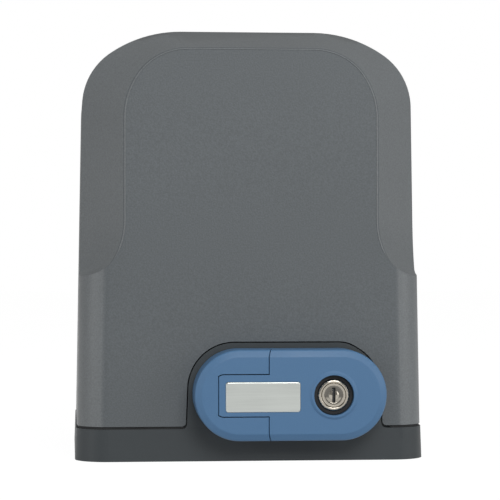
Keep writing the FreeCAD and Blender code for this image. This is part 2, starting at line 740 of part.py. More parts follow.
def base():
    """Die-cast base: a tray with a rim, two upright tongues, slots, bosses and gussets."""
    tray = Part.makeLoft([plan_wire(FOOT_FLARE, 0), plan_wire(0, BASE_HEIGHT)], True, True)
    lip = plan_prism(LIP_THICKNESS - BASE_WALL, BASE_HEIGHT - 5, LIP_TOP)
    body = joined(tray, lip).cut(plan_prism(-BASE_WALL, BASE_FLOOR, LIP_TOP + 5))
    front = front_arch(0, BASE_HEIGHT, ARCH_FOOT_RADIUS, FRONT_FACE - 2, FRONT_TONGUE_BACK)
    waste = block(-COVER_WIDTH, COVER_WIDTH, 2 * FRONT_FACE, FRONT_FACE + TONGUE_SET_BACK,
                  -TOTAL_HEIGHT, TOTAL_HEIGHT)
    front = front.cut(lean_back(waste, FRONT_FACE + TONGUE_SET_BACK))
    half_w, half_h = LEVER_WIDTH / 2 - 3, LEVER_HEIGHT / 2 - 3
    pad = plate_xz(LEVER_X - half_w, LEVER_X + half_w, LEVER_Z - half_h, LEVER_Z + half_h,
                   half_h, PAD_FACE, FRONT_TONGUE_BACK)
    rear = rear_arch(0, BASE_HEIGHT, ARCH_FOOT_RADIUS, REAR_TONGUE_FRONT, BACK_FACE - TONGUE_SET_BACK)
    body = joined(body, front, pad, rear)
    guide_boss = rod_y(GUIDE_DIAMETER / 2 + 4, FRONT_TONGUE_BACK - 1, FRONT_TONGUE_BACK + GUIDE_LENGTH - 2)
    lugs = [
        prism([(-LUG_HALF_WIDTH, BASE_FLOOR - 1, 0), (LUG_HALF_WIDTH, BASE_FLOOR - 1, 0),
               (LUG_HALF_WIDTH, LUG_TOP, 4), (-LUG_HALF_WIDTH, LUG_TOP, 4)],
              on_yz(x), Vector(LUG_THICKNESS, 0, 0))
        for x in (LUG_OUTSIDE - LUG_THICKNESS, -LUG_OUTSIDE)
    ]
    bosses = [rod_z(LEVELLING_SCREW_DIAMETER, BASE_FLOOR - 1, BASE_HEIGHT - 3, x, y)
              for x, y in levelling_places()]
    conduit = rod_z(CABLE_HOLE_DIAMETER / 2 + 3, BASE_FLOOR - 1, BASE_FLOOR + 9, CABLE_X, CABLE_Y)
    gussets = [gusset(FRONT_ARCH_X + s * 68 - 2, FRONT_TONGUE_BACK - 1, FRONT_TONGUE_BACK + 24,
                      FRONT_ARCH_TOP - 20) for s in (-1, 1)]
    gussets += [gusset(SHAFT_X + s * 56 - 2, REAR_TONGUE_FRONT + 1, REAR_TONGUE_FRONT - 24,
                       REAR_ARCH_TOP - 50) for s in (-1, 1)]
    body = joined(body, guide_boss, conduit, *lugs, *bosses, *gussets)
    cuts = [
        rod_y(NOSE_DIAMETER / 2 + NOSE_GAP, REAR_TONGUE_FRONT - 5, BACK_FACE + 5),
        rod_z(TONGUE_RADIUS + PARTING_GAP, LEVER_Z - TONGUE_HEIGHT / 2 - PARTING_GAP,
              LEVER_Z + TONGUE_HEIGHT / 2 + PARTING_GAP, HINGE_X, HINGE_Y),
        rod_y(GUIDE_DIAMETER / 2, FRONT_FACE - 5, FRONT_TONGUE_BACK + GUIDE_LENGTH + 5),
        plate_xz(*LOCK_WINDOW, 4, FRONT_FACE - 5, FRONT_TONGUE_BACK + 5),
        plate_xz(SHAFT_X - LIMIT_SLOT_HALF_WIDTH, SHAFT_X + LIMIT_SLOT_HALF_WIDTH,
                 LIMIT_Z - LIMIT_SLOT_HALF_HEIGHT, LIMIT_Z + LIMIT_SLOT_HALF_HEIGHT,
                 LIMIT_SLOT_HALF_HEIGHT - 1, REAR_TONGUE_FRONT - 5, BACK_FACE + 5),
        rod_z(CABLE_HOLE_DIAMETER / 2, -5, BASE_FLOOR + 20, CABLE_X, CABLE_Y),
    ]
    slot_x, slot_y = ANCHOR_SLOT_LENGTH / 2, ANCHOR_SLOT_WIDTH / 2
    cuts += [plate_xy(x - slot_x, x + slot_x, y - slot_y, y + slot_y, slot_y, -5, BASE_FLOOR + 5)
             for x, y in anchor_places()]
    cuts += [rod_z(LEVELLING_SCREW_DIAMETER / 2, -5, BASE_HEIGHT + 5, x, y)
             for x, y in levelling_places()]
    floor_places = gearbox_screw_places() + bracket_screw_places() + transformer_screw_places()
    cuts += [rod_z(M5 / 2, BASE_FLOOR - FLOOR_SCREW_DEPTH, BASE_FLOOR + 5, x, y)
             for x, y in floor_places]
    cuts += [rod_y(M5 / 2 + 0.25, FRONT_FACE - 5, FRONT_TONGUE_BACK + 5, x, z)
             for x, z in BRACKET_SCREW_SPOTS]
    slot = M5 / 2 + REST_GAP
    for side in (-1, 1):
        x0, x1 = sorted((side * (LUG_OUTSIDE - LUG_THICKNESS - 1), side * (LUG_OUTSIDE + 1)))
        cuts.append(rod_x(slot, x0, x1, 0, COVER_SCREW_Z))
        cuts.append(block(x0, x1, -slot, slot, COVER_SCREW_Z, LUG_TOP + 5))
    return body.cut(cuts)


def cover_seal():
    """Rubber cord that lies on the rim of the base, between the two tongues."""
    outer = plan_prism(-SEAL_SET_BACK, BASE_HEIGHT, COVER_FOOT - 0.2)
    ring = outer.cut(plan_prism(LIP_THICKNESS - BASE_WALL, BASE_HEIGHT - 5, COVER_FOOT + 5))
    clear = ARCH_GAP
    front = front_arch(clear, BASE_HEIGHT, ARCH_FOOT_RADIUS, 1.2 * FRONT_FACE, FRONT_TONGUE_BACK + 5)
    rear = rear_arch(clear, BASE_HEIGHT, ARCH_FOOT_RADIUS, REAR_TONGUE_FRONT - 5, 1.2 * BACK_FACE)
    return ring.cut([front, rear])


def levelling_screws():
    """Four grub screws that lift and level the motor on its plate."""
    screws = []
    for x, y in levelling_places():
        body = rod_z(LEVELLING_SCREW_DIAMETER / 2, 1.0, BASE_HEIGHT + 1, x, y)
        socket = hexagon(4.0, BASE_HEIGHT - 3, BASE_HEIGHT + 2)
        socket.translate(Vector(x, y, 0))
        screws.append(body.cut(socket))
    return Part.makeCompound(screws)


def floor_screws():
    """Screws that hold the gearbox, the board's bracket and the transformer to the floor."""
    tops = ([(x, y, BASE_FLOOR + FOOT_PLATE_THICKNESS) for x, y in gearbox_screw_places()]
            + [(x, y, BASE_FLOOR + BRACKET_SHEET) for x, y in bracket_screw_places()]
            + [(x, y, BASE_FLOOR + TRANSFORMER_EAR) for x, y in transformer_screw_places()])
    return Part.makeCompound([
        aimed(cap_screw(top - BASE_FLOOR + FLOOR_SCREW_DEPTH), Vector(x, y, top), UP)
        for x, y, top in tops
    ])


# ---- Release lever -----------------------------------------------------------------------


def handle_section(place, back):
    """Half section of the handle: flat face, soft bevel and straight side."""
    half = LEVER_HEIGHT / 2
    bevel_end = LEVER_FACE + BEVEL_DEPTH
    return rounded_wire([(0, back, 0), (0, LEVER_FACE, 0), (half - BEVEL_WIDTH, LEVER_FACE, BEVEL_RADIUS),
                         (half, bevel_end, BEVEL_RADIUS), (half, back, 0)], place)


def handle_form(back):
    """Stadium of the whole handle: two turned ends and a straight middle of one section."""
    reach = (LEVER_WIDTH - LEVER_HEIGHT) / 2
    left, right = LEVER_X - reach, LEVER_X + reach
    pieces = []
    for x in (left, right):
        face = Part.Face(handle_section(lambda u, v, x=x: Vector(x, v, LEVER_Z + u), back))
        half_turn = face.revolve(Vector(x, 0, LEVER_Z), BACK, 180 if x == right else -180)
        pieces.append(half_turn)
    for side in (1, -1):
        place = lambda u, v, side=side: Vector(left, v, LEVER_Z + side * u)
        pieces.append(Part.Face(handle_section(place, back)).extrude(Vector(right - left, 0, 0)))
    return joined(*pieces)


def tongue_band(grow, x0, x1, corner_radius):
    """Level band of the handle that the lever's tongue fills."""
    half = TONGUE_HEIGHT / 2 + grow
    corners = [(x0, LEVER_Z - half, corner_radius), (x1, LEVER_Z - half, 0),
               (x1, LEVER_Z + half, 0), (x0, LEVER_Z + half, corner_radius)]
    y0, y1 = LEVER_FACE - 5, FRONT_TONGUE_BACK
    return prism(corners, on_xz(y0), Vector(0, y1 - y0, 0))


def hinge_bracket():
    """Fixed left part of the handle: two arms that carry the hinge pin."""
    body = handle_form(PAD_FACE)
    low, high = LEVER_Z - LEVER_HEIGHT, LEVER_Z + LEVER_HEIGHT
    keep = joined(block(HINGE_X - LEVER_WIDTH, HINGE_X, LEVER_FACE - 5, PAD_FACE + 5, low, high),
                  rod_z(ARM_RADIUS, low, high, HINGE_X, HINGE_Y))
    body = body.common(keep)
    slot_radius = TONGUE_RADIUS + PARTING_GAP
    band = tongue_band(PARTING_GAP, HINGE_X - slot_radius, HINGE_X + LEVER_WIDTH,
                       TONGUE_CORNER_RADIUS + PARTING_GAP)
    sweep = joined(rod_z(slot_radius, low, high, HINGE_X, HINGE_Y),
                   block(HINGE_X, HINGE_X + LEVER_WIDTH, LEVER_FACE - 5, PAD_FACE + 5, low, high))
    body = body.cut(band.common(sweep))
    # behind its rounded mouth the slot is square, so that the tongue can turn in it
    half = TONGUE_HEIGHT / 2 + PARTING_GAP
    mouth = LEVER_FACE + SLOT_MOUTH_DEPTH
    turning = rod_z(slot_radius, LEVER_Z - half, LEVER_Z + half, HINGE_X, HINGE_Y)
    body = body.cut(turning.cut(block(HINGE_X - LEVER_WIDTH, HINGE_X + LEVER_WIDTH,
                                      2 * LEVER_FACE, mouth, low, high)))
    pin_top = LEVER_Z + HINGE_PIN_LENGTH / 2
    body = body.cut(rod_z(HINGE_PIN_DIAMETER / 2, low, pin_top, HINGE_X, HINGE_Y))
    return body.cut([rod_y(M5 / 2, PAD_FACE - 10, PAD_FACE + 1, x, z) for x, z in BRACKET_SCREW_SPOTS])


def bracket_screws():
    """Screws that hold the hinge bracket from inside the base."""
    return Part.makeCompound([
        aimed(cap_screw(FRONT_TONGUE_BACK - PAD_FACE + 9), Vector(x, FRONT_TONGUE_BACK, z), BACK)
        for x, z in BRACKET_SCREW_SPOTS
    ])


def hinge_pin():
    """Upright pin through the bracket's arms and the lever's tongue."""
    half, radius, soft = HINGE_PIN_LENGTH / 2, HINGE_PIN_DIAMETER / 2, 0.6
    return turned_z([(0, LEVER_Z - half), (radius - soft, LEVER_Z - half),
                     (radius, LEVER_Z - half + soft), (radius, LEVER_Z + half - soft),
                     (radius - soft, LEVER_Z + half), (0, LEVER_Z + half)], HINGE_X, HINGE_Y)


def cam_point(degrees, radius):
    """Point about the hinge pin; 90 degrees points at the release rod."""
    angle = math.radians(degrees)
    return Vector(HINGE_X + radius * math.cos(angle), HINGE_Y + radius * math.sin(angle), 0)


def tongue_profile(z):
    """Plan of the lever's tongue: round at its end, with a spiral cam at its back."""
    front = -HINGE_DEPTH - 2
    tip_x = -math.sqrt(TONGUE_RADIUS ** 2 - front ** 2)
    relief = ROD_DIAMETER / 2 + 1.2
    back = LEVER_BACK - HINGE_Y
    inside = ARM_RADIUS + 10

    def at(x, y):
        return Vector(HINGE_X + x, HINGE_Y + y, z)

    steps = 6
    spiral = []
    for k in range(steps + 1):
        point = cam_point(90 + 90 * k / steps, CAM_START_RADIUS + CAM_TRAVEL * k / steps)
        spiral.append(Vector(point.x, point.y, z))
    curve = Part.BSplineCurve()
    curve.interpolate(spiral)
    end_middle = math.radians(180 + 0.5 * math.degrees(math.asin(-front / TONGUE_RADIUS)))
    end_arc = Part.Arc(spiral[-1], at(TONGUE_RADIUS * math.cos(end_middle),
                                      TONGUE_RADIUS * math.sin(end_middle)), at(tip_x, front))
    corners = [at(tip_x, front), at(inside, front), at(inside, back), at(relief, back),
               at(relief, CAM_START_RADIUS), spiral[0]]
    edges = [Part.makeLine(a, b) for a, b in zip(corners, corners[1:])]
    return Part.Wire(edges + [curve.toShape(), end_arc.toShape()])


def release_lever():
    """Swinging part of the handle, with its tongue, lock collar, badge recess and hollow back."""
    body = handle_form(LEVER_BACK)
    low, high = LEVER_Z - LEVER_HEIGHT, LEVER_Z + LEVER_HEIGHT
    away = joined(block(HINGE_X - LEVER_WIDTH, HINGE_X, LEVER_FACE - 5, PAD_FACE + 5, low, high),
                  rod_z(ARM_RADIUS + PARTING_GAP, low, high, HINGE_X, HINGE_Y))
    main = body.cut(away)
    half = TONGUE_HEIGHT / 2
    tongue = Part.Face(tongue_profile(LEVER_Z - half)).extrude(Vector(0, 0, TONGUE_HEIGHT))
    band = tongue_band(0, HINGE_X - TONGUE_RADIUS, HINGE_X + LEVER_WIDTH, TONGUE_CORNER_RADIUS)
    main = joined(main, tongue.common(band).common(body))
    # hollow back with a boss for the lock, and the finger gap at the free end
    right_end = LEVER_X + LEVER_WIDTH / 2
    gap_left = right_end - FINGER_GAP_WIDTH
    hollow_half = LEVER_HEIGHT / 2 - LEVER_WALL - BEVEL_WIDTH / 2
    hollow = plate_xz(HINGE_X + ARM_RADIUS + 10, gap_left - LEVER_WALL, LEVER_Z - hollow_half,
                      LEVER_Z + hollow_half, 5, LEVER_FLOOR, PAD_FACE + 5)
    rib_y = (LEVER_FLOOR, LEVER_BACK - 1)
    ribs = joined(rod_y(LOCK_NUT_WIDTH / 2 + 4, LEVER_FLOOR - 1, LOCK_BOSS_BACK, LOCK_X, LEVER_Z),
                  block(HINGE_X, right_end, *rib_y, LEVER_Z + 17.5, LEVER_Z + 20),
                  block(HINGE_X, right_end, *rib_y, LEVER_Z - 20, LEVER_Z - 17.5))
    main = main.cut(hollow.cut(ribs))
    main = main.cut(block(gap_left, right_end + 5, LEVER_BACK - FINGER_GAP_DEPTH, PAD_FACE + 5, low, high))
    # lock recess and collar
    recess, collar = LOCK_RECESS_DIAMETER / 2, LOCK_COLLAR_DIAMETER / 2
    lip = LEVER_FACE - LOCK_COLLAR_HEIGHT
    ring = turned_y([(recess, LEVER_FACE + 1), (collar, LEVER_FACE + 1), (collar, LEVER_FACE),
                     (collar - 1.6, lip), (recess, lip)], LOCK_X, LEVER_Z)
    main = joined(main, ring)
    main = main.cut([rod_y(recess, lip - 1, LOCK_FLOOR, LOCK_X, LEVER_Z),
                     rod_y(LOCK_BARREL_DIAMETER / 2, LOCK_FLOOR - 1, PAD_FACE + 5, LOCK_X, LEVER_Z),
                     rod_z(HINGE_PIN_DIAMETER / 2 + SLIDE_GAP, low, high, HINGE_X, HINGE_Y),
                     badge(BADGE_SINK, 0.0)])
    return main


def badge(sink, gap):
    """Thin rounded plate on the lever's face, sunk into it."""
    x = LEVER_X + BADGE_OFFSET
    z = LEVER_Z - BADGE_DROP
    half_w, half_h = BADGE_WIDTH / 2 - gap, BADGE_HEIGHT / 2 - gap
    return plate_xz(x - half_w, x + half_w, z - half_h, z + half_h, 2.0 - gap,
                    LEVER_FACE + sink - BADGE_THICKNESS, LEVER_FACE + sink)


def badge_plate():
    """Bare brushed plate in its recess."""
    return badge(BADGE_SINK, 0.0)


def lock_barrel():
    """Fixed body of the cam lock: a rimmed head and a barrel with the bore for its plug."""
    head, soft = LOCK_HEAD_DIAMETER / 2, 0.8
    barrel = LOCK_BARREL_DIAMETER / 2
    plug, core = LOCK_PLUG_DIAMETER / 2 + SLIDE_GAP, LOCK_CORE_DIAMETER / 2 + SLIDE_GAP
    step = LOCK_FLOOR - REST_GAP
    return turned_y([
        (plug, LOCK_HEAD_FACE), (head - soft, LOCK_HEAD_FACE), (head, LOCK_HEAD_FACE + soft),
        (head, LOCK_FLOOR), (barrel, LOCK_FLOOR), (barrel, BARREL_END), (core, BARREL_END),
        (core, step), (plug, step),
    ], LOCK_X, LEVER_Z)


def lock_nut():
    """Hexagon nut that clamps the lock to its boss."""
    nut = aimed(hexagon(LOCK_NUT_WIDTH, 0, LOCK_NUT_HEIGHT), Vector(LOCK_X, LOCK_BOSS_BACK, LEVER_Z), BACK)
    nut.rotate(Vector(LOCK_X, 0, LEVER_Z), BACK, 30)
    return nut.cut(rod_y(LOCK_BARREL_DIAMETER / 2, LOCK_FLOOR, BARREL_END, LOCK_X, LEVER_Z))


LOCK_CAM_START = FRONT_TONGUE_BACK + REST_GAP


def lock_plug():
    """Turning core of the lock, with its key slot, centre boss and tail."""
    plug, core, soft = LOCK_PLUG_DIAMETER / 2, LOCK_CORE_DIAMETER / 2, 0.5
    face = LOCK_HEAD_FACE + 0.3
    step = LOCK_FLOOR - 2 * REST_GAP
    boss = LOCK_CORE_DIAMETER * 0.31
    tail_end = LOCK_CAM_START + LOCK_CAM_THICKNESS
    body = turned_y([
        (0, face - 0.4), (boss - 0.4, face - 0.4), (boss, face), (plug - soft, face), (plug, face + soft),
        (plug, step), (core, step), (core, LOCK_CAM_START), (4.0, LOCK_CAM_START), (4.0, tail_end),
        (4.5, tail_end), (4.5, tail_end + 2.0), (0, tail_end + 2.0),
    ], LOCK_X, LEVER_Z)
    half_w, half_h = KEY_SLOT_WIDTH / 2, KEY_SLOT_HEIGHT / 2
    return body.cut(block(LOCK_X - half_w, LOCK_X + half_w, face - 1, face + KEY_SLOT_DEPTH,
                          LEVER_Z - half_h, LEVER_Z + half_h))


def lock_cam():
    """Flat latch on the plug's tail; it points down while the lock is open."""
    half = LOCK_CAM_WIDTH / 2
    cam = plate_xz(LOCK_X - half, LOCK_X + half, LEVER_Z - LOCK_CAM_LENGTH, LEVER_Z + half,
                   half - 1, LOCK_CAM_START, LOCK_CAM_START + LOCK_CAM_THICKNESS)
    return cam.cut(rod_y(4.0, LOCK_CAM_START - 1, LOCK_CAM_START + 5, LOCK_X, LEVER_Z))


# ---- Release clutch ----------------------------------------------------------------------

ROD_START = HINGE_Y + CAM_START_RADIUS + 2 * REST_GAP
ROD_END = CROSS_PIN_Y + 4.0


def rod_guide():
    """Bronze bush in the base that guides the release rod."""
    y0 = FRONT_TONGUE_BACK - 2.0
    y1 = FRONT_TONGUE_BACK + GUIDE_LENGTH - 2
    return turned_y([(ROD_DIAMETER / 2 + SLIDE_GAP, y0), (GUIDE_DIAMETER / 2, y0),
                     (GUIDE_DIAMETER / 2, y1), (GUIDE_DIAMETER / 2 + 2, y1),
                     (GUIDE_DIAMETER / 2 + 2, y1 + 1.5), (ROD_DIAMETER / 2 + SLIDE_GAP, y1 + 1.5)])


def release_rod():
    """Push rod from the lever's cam to the cross pin, through the hollow shaft."""
    radius = ROD_DIAMETER / 2
    body = turned_y([(0, ROD_START), (0.35 * radius, ROD_START + 0.2), (0.75 * radius, ROD_START + 1.0),
                     (radius, ROD_START + 2.2), (radius, ROD_END), (0, ROD_END)])
    return body.cut(rod_x(CROSS_PIN_DIAMETER / 2, SHAFT_X - 10, SHAFT_X + 10, CROSS_PIN_Y, SHAFT_Z))


def dogs(y0, y1, first):
    """Ring of driving dogs about the shaft."""
    outer, inner = DOG_OUTER_RADIUS, DOG_INNER_RADIUS
    half = math.radians(DOG_ANGLE / 2)
    cosine, sine = math.cos(half), math.sin(half)
    place = lambda r, c, s: Vector(SHAFT_X + r * c, y0, SHAFT_Z + r * s)
    wire = Part.Wire([
        Part.makeLine(place(inner, cosine, -sine), place(outer, cosine, -sine)),
        Part.Arc(place(outer, cosine, -sine), place(outer, 1, 0), place(outer, cosine, sine)).toShape(),
        Part.makeLine(place(outer, cosine, sine), place(inner, cosine, sine)),
        Part.Arc(place(inner, cosine, sine), place(inner, 1, 0), place(inner, cosine, -sine)).toShape(),
    ])
    dog = Part.Face(wire).extrude(Vector(0, y1 - y0, 0))
    return round_copies(dog, DOG_COUNT, Vector(SHAFT_X, 0, SHAFT_Z), BACK, first)


def clutch_sleeve():
    """Sliding sleeve whose dogs drive the output shaft from the worm wheel."""
    outer, bore = SLEEVE_DIAMETER / 2, SHAFT_DIAMETER / 2 + 2 * SLIDE_GAP
    body = turned_y([(bore, SLEEVE_START), (outer, SLEEVE_START), (outer, SLEEVE_END - 4),
                     (outer - 3, SLEEVE_END), (bore, SLEEVE_END)])
    body = joined(body, *dogs(DOG_START + REST_GAP, SLEEVE_START + 1, 180.0 / DOG_COUNT))
    return body.cut(rod_x(CROSS_PIN_DIAMETER / 2, SHAFT_X - outer - 5, SHAFT_X + outer + 5,
                          CROSS_PIN_Y, SHAFT_Z))


def cross_pin():
    """Pin that ties the rod to the sleeve through the slotted shaft."""
    half = SLEEVE_DIAMETER / 2 - 1
    return rod_x(CROSS_PIN_DIAMETER / 2, SHAFT_X - half, SHAFT_X + half, CROSS_PIN_Y, SHAFT_Z)


def helical(corners, lead, turns, steps):
    """Coil on the Z axis, lofted through copies of a flat section of (radius, z) corners."""
    sections = []
    for step in range(round(turns * steps) + 1):
        turn = 2 * math.pi * step / steps
        points = [Vector(radius * math.cos(turn), radius * math.sin(turn), z + lead * step / steps)
                  for radius, z in corners]
        sections.append(Part.makePolygon(points + points[:1]))
    return Part.makeLoft(sections, True, True)


def coil(mean_radius, wire, length, turns, steps):
    """Wire spring on the Z axis between z = 0 and its length, from wire centre to wire centre."""
    corners = [(mean_radius + wire / 2 * math.cos(k * math.pi / 3), wire / 2 * math.sin(k * math.pi / 3))
               for k in range(6)]
    return helical(corners, length / turns, turns, steps)


def clutch_spring():
    """Compression spring that keeps the sleeve in mesh."""
    room = SPRING_LENGTH - SPRING_WIRE - REST_GAP
    spring = coil(SPRING_MEAN_RADIUS, SPRING_WIRE, room, SPRING_TURNS, SPRING_STEPS)
    spring.rotate(Vector(0, 0, 0), RIGHT, -90)
    spring.translate(Vector(SHAFT_X, SLEEVE_END + (SPRING_LENGTH - room) / 2, SHAFT_Z))
    return spring


# ---- Gears -------------------------------------------------------------------------------


def gear_wire(module, teeth, plane):
    """Involute gear outline about the origin, with a tooth gap on its first axis."""
    pressure = math.radians(20)
    pitch = module * teeth / 2
    base_radius = pitch * math.cos(pressure)
    root, tip = pitch - ROOT_DEPTH * module, pitch + module
    start = max(base_radius, root)
    half_base = math.pi / (2 * teeth) + math.tan(pressure) - pressure
    root_half = math.pi / teeth

    def polar(radius, angle):
        return plane(radius * math.cos(angle), radius * math.sin(angle))

    def flank(radius):
        unroll = math.sqrt(max((radius / base_radius) ** 2 - 1, 0))
        return half_base - (unroll - math.atan(unroll))

    def arc(a, b, c):
        return Part.Arc(a, b, c).toShape()

    middle = (start + tip) / 2
    edges = []
    for tooth in range(teeth):
        centre = (tooth + 0.5) * 2 * root_half
        foot_half = flank(start)
        rises = [polar(r, centre - flank(r)) for r in (start, middle, tip)]
        falls = [polar(r, centre + flank(r)) for r in (tip, middle, start)]
        edges.append(Part.makeLine(polar(root, centre - foot_half), rises[0]))
        edges.append(arc(*rises))
        edges.append(arc(rises[2], polar(tip, centre), falls[0]))
        edges.append(arc(*falls))
        edges.append(Part.makeLine(falls[2], polar(root, centre + foot_half)))
        edges.append(arc(polar(root, centre + foot_half), polar(root, centre + root_half),
                         polar(root, centre + 2 * root_half - foot_half)))
    return Part.Wire(edges)


def about_shaft(y):
    """Places gear outlines on a plane across the output shaft."""
    return lambda u, v: Vector(SHAFT_X + u, y, SHAFT_Z + v)


def worm_wheel():
    """Bronze worm wheel, free on the shaft, with a hub in front and dogs behind."""
    ends = []
    for y in (WHEEL_START, DOG_START):
        wire = gear_wire(GEAR_MODULE, WHEEL_TEETH, about_shaft(y))
        twist = (y - WHEEL_MIDDLE) * WORM_LEAD / (math.pi * WORM_PITCH_DIAMETER) / WHEEL_PITCH_RADIUS
        wire.rotate(Vector(SHAFT_X, 0, SHAFT_Z), BACK, math.degrees(twist))
        ends.append(wire)
    teeth = Part.makeLoft(ends, True, True)
    hub = rod_y(WHEEL_HUB_DIAMETER / 2, HUB_START, WHEEL_START + 1)
    body = joined(teeth, hub, *dogs(DOG_START - 1, DOG_START + DOG_LENGTH, 0.0))
    return body.cut(rod_y(SHAFT_DIAMETER / 2 + SLIDE_GAP, HUB_START - 5, SLEEVE_END))


def worm_shaft():
    """Motor shaft with the worm cut on its lower end."""
    root = WORM_PITCH_DIAMETER / 2 - ROOT_DEPTH * GEAR_MODULE
    tip = WORM_OUTER_RADIUS
    slope = math.tan(math.radians(20))
    pitch_half = WORM_LEAD / 4 - TOOTH_BACKLASH / 2
    inner, outer = root - 0.5, tip
    low_half = pitch_half + (WORM_PITCH_DIAMETER / 2 - inner) * slope
    high_half = pitch_half - (outer - WORM_PITCH_DIAMETER / 2) * slope
    turns_below = math.ceil((WORM_LENGTH / 2 + WORM_LEAD) / WORM_LEAD) + 0.5
    start = SHAFT_Z - turns_below * WORM_LEAD
    turns = 2 * turns_below
    section = [(inner, -low_half), (outer, -high_half), (outer, high_half), (inner, low_half)]
    thread = helical(section, WORM_LEAD, turns, WORM_STEPS)
    thread.translate(Vector(WORM_X, WORM_Y, start))
    window = rod_z(tip + 5, WORM_BOTTOM, WORM_TOP, WORM_X, WORM_Y)
    thread = thread.common(window)
    shaft = MOTOR_SHAFT_DIAMETER / 2
    journal = WORM_BEARING[0] / 2
    core = turned_z([
        (0, WORM_BEARING_BOTTOM), (journal, WORM_BEARING_BOTTOM),
        (journal, WORM_BEARING_BOTTOM + WORM_BEARING[2]), (root, WORM_BEARING_BOTTOM + WORM_BEARING[2]),
        (root, WORM_TOP), (shaft, WORM_TOP), (shaft, SHAFT_TOP), (0, SHAFT_TOP),
    ], WORM_X, WORM_Y)
    return core.fuse(thread)


def pinion():
    """Steel output pinion that meets the gate's rack."""
    wire = gear_wire(PINION_MODULE, PINION_TEETH, about_shaft(SHOULDER_END))
    body = Part.Face(wire).extrude(Vector(0, PINION_WIDTH, 0))
    key_top = SHAFT_Z + SHAFT_DIAMETER / 2 + 2.8
    half = KEY_WIDTH / 2
    return body.cut([rod_y(SHAFT_DIAMETER / 2, SHOULDER_END - 1, PINION_END + 1),
                     block(SHAFT_X - half, SHAFT_X + half, SHOULDER_END - 1, PINION_END + 1,
                           SHAFT_Z, key_top)])


KEY_START = SHOULDER_END + 2.0
KEY_END = PINION_END - 2.0
KEY_BOTTOM = SHAFT_Z + SHAFT_DIAMETER / 2 - 3.5


def shaft_key():
    """Parallel key between the shaft and the pinion."""
    half = KEY_WIDTH / 2
    return block(SHAFT_X - half, SHAFT_X + half, KEY_START, KEY_END, KEY_BOTTOM,
                 SHAFT_Z + SHAFT_DIAMETER / 2 + 2.5)


def output_shaft():
    """Stepped hollow shaft, slotted for the cross pin and tapped at its end."""
    shaft, shoulder = SHAFT_DIAMETER / 2, SHOULDER_DIAMETER / 2
    collar = COLLAR_DIAMETER / 2
    body = turned_y([(0, SHAFT_START), (shaft, SHAFT_START), (shaft, SPRING_END),
                     (collar, SPRING_END), (collar, COLLAR_END), (shoulder, COLLAR_END),
                     (shoulder, SHOULDER_END), (shaft, SHOULDER_END), (shaft, PINION_END - 0.5),
                     (0, PINION_END - 0.5)])
    slot_half = CROSS_PIN_DIAMETER / 2 + REST_GAP / 2
    travel_end = CROSS_PIN_Y + CAM_TRAVEL + slot_half + REST_GAP
    slot = plate_xy(SHAFT_X - 20, SHAFT_X + 20, CROSS_PIN_Y - slot_half, travel_end, 0,
                    SHAFT_Z - slot_half, SHAFT_Z + slot_half)
    half = KEY_WIDTH / 2
    return body.cut([
        rod_y(ROD_DIAMETER / 2 + 0.2, SHAFT_START - 1, travel_end + 6),
        slot,
        block(SHAFT_X - half, SHAFT_X + half, KEY_START, KEY_END, KEY_BOTTOM, SHAFT_Z + 20),
        rod_y(4.0, PINION_END - 20, PINION_END + 1),
    ])


def pinion_washer():
    """Washer that holds the pinion on the shaft."""
    return turned_y([(4.2, PINION_END), (WASHER_DIAMETER / 2, PINION_END),
                     (WASHER_DIAMETER / 2, PINION_END + WASHER_THICKNESS),
                     (4.2, PINION_END + WASHER_THICKNESS)])


def pinion_bolt():
    """Hexagon bolt in the end of the shaft."""
    seat = PINION_END + WASHER_THICKNESS
    head = aimed(hexagon(13.0, 0, 5.3), Vector(SHAFT_X, seat, SHAFT_Z), BACK)
    return joined(head, rod_y(4.0, PINION_END - 18, seat + 1))


# ---- Gearbox -----------------------------------------------------------------------------

GEARBOX_SCREW_CIRCLE = HOUSING_RADIUS - 0.5
GEARBOX_BOSS_RADIUS = 4.5


def gearbox_boss_copies(shape):
    """Copies at the six places of the gearbox cover's screws."""
    return round_copies(shape, 6, Vector(SHAFT_X, 0, SHAFT_Z), BACK)


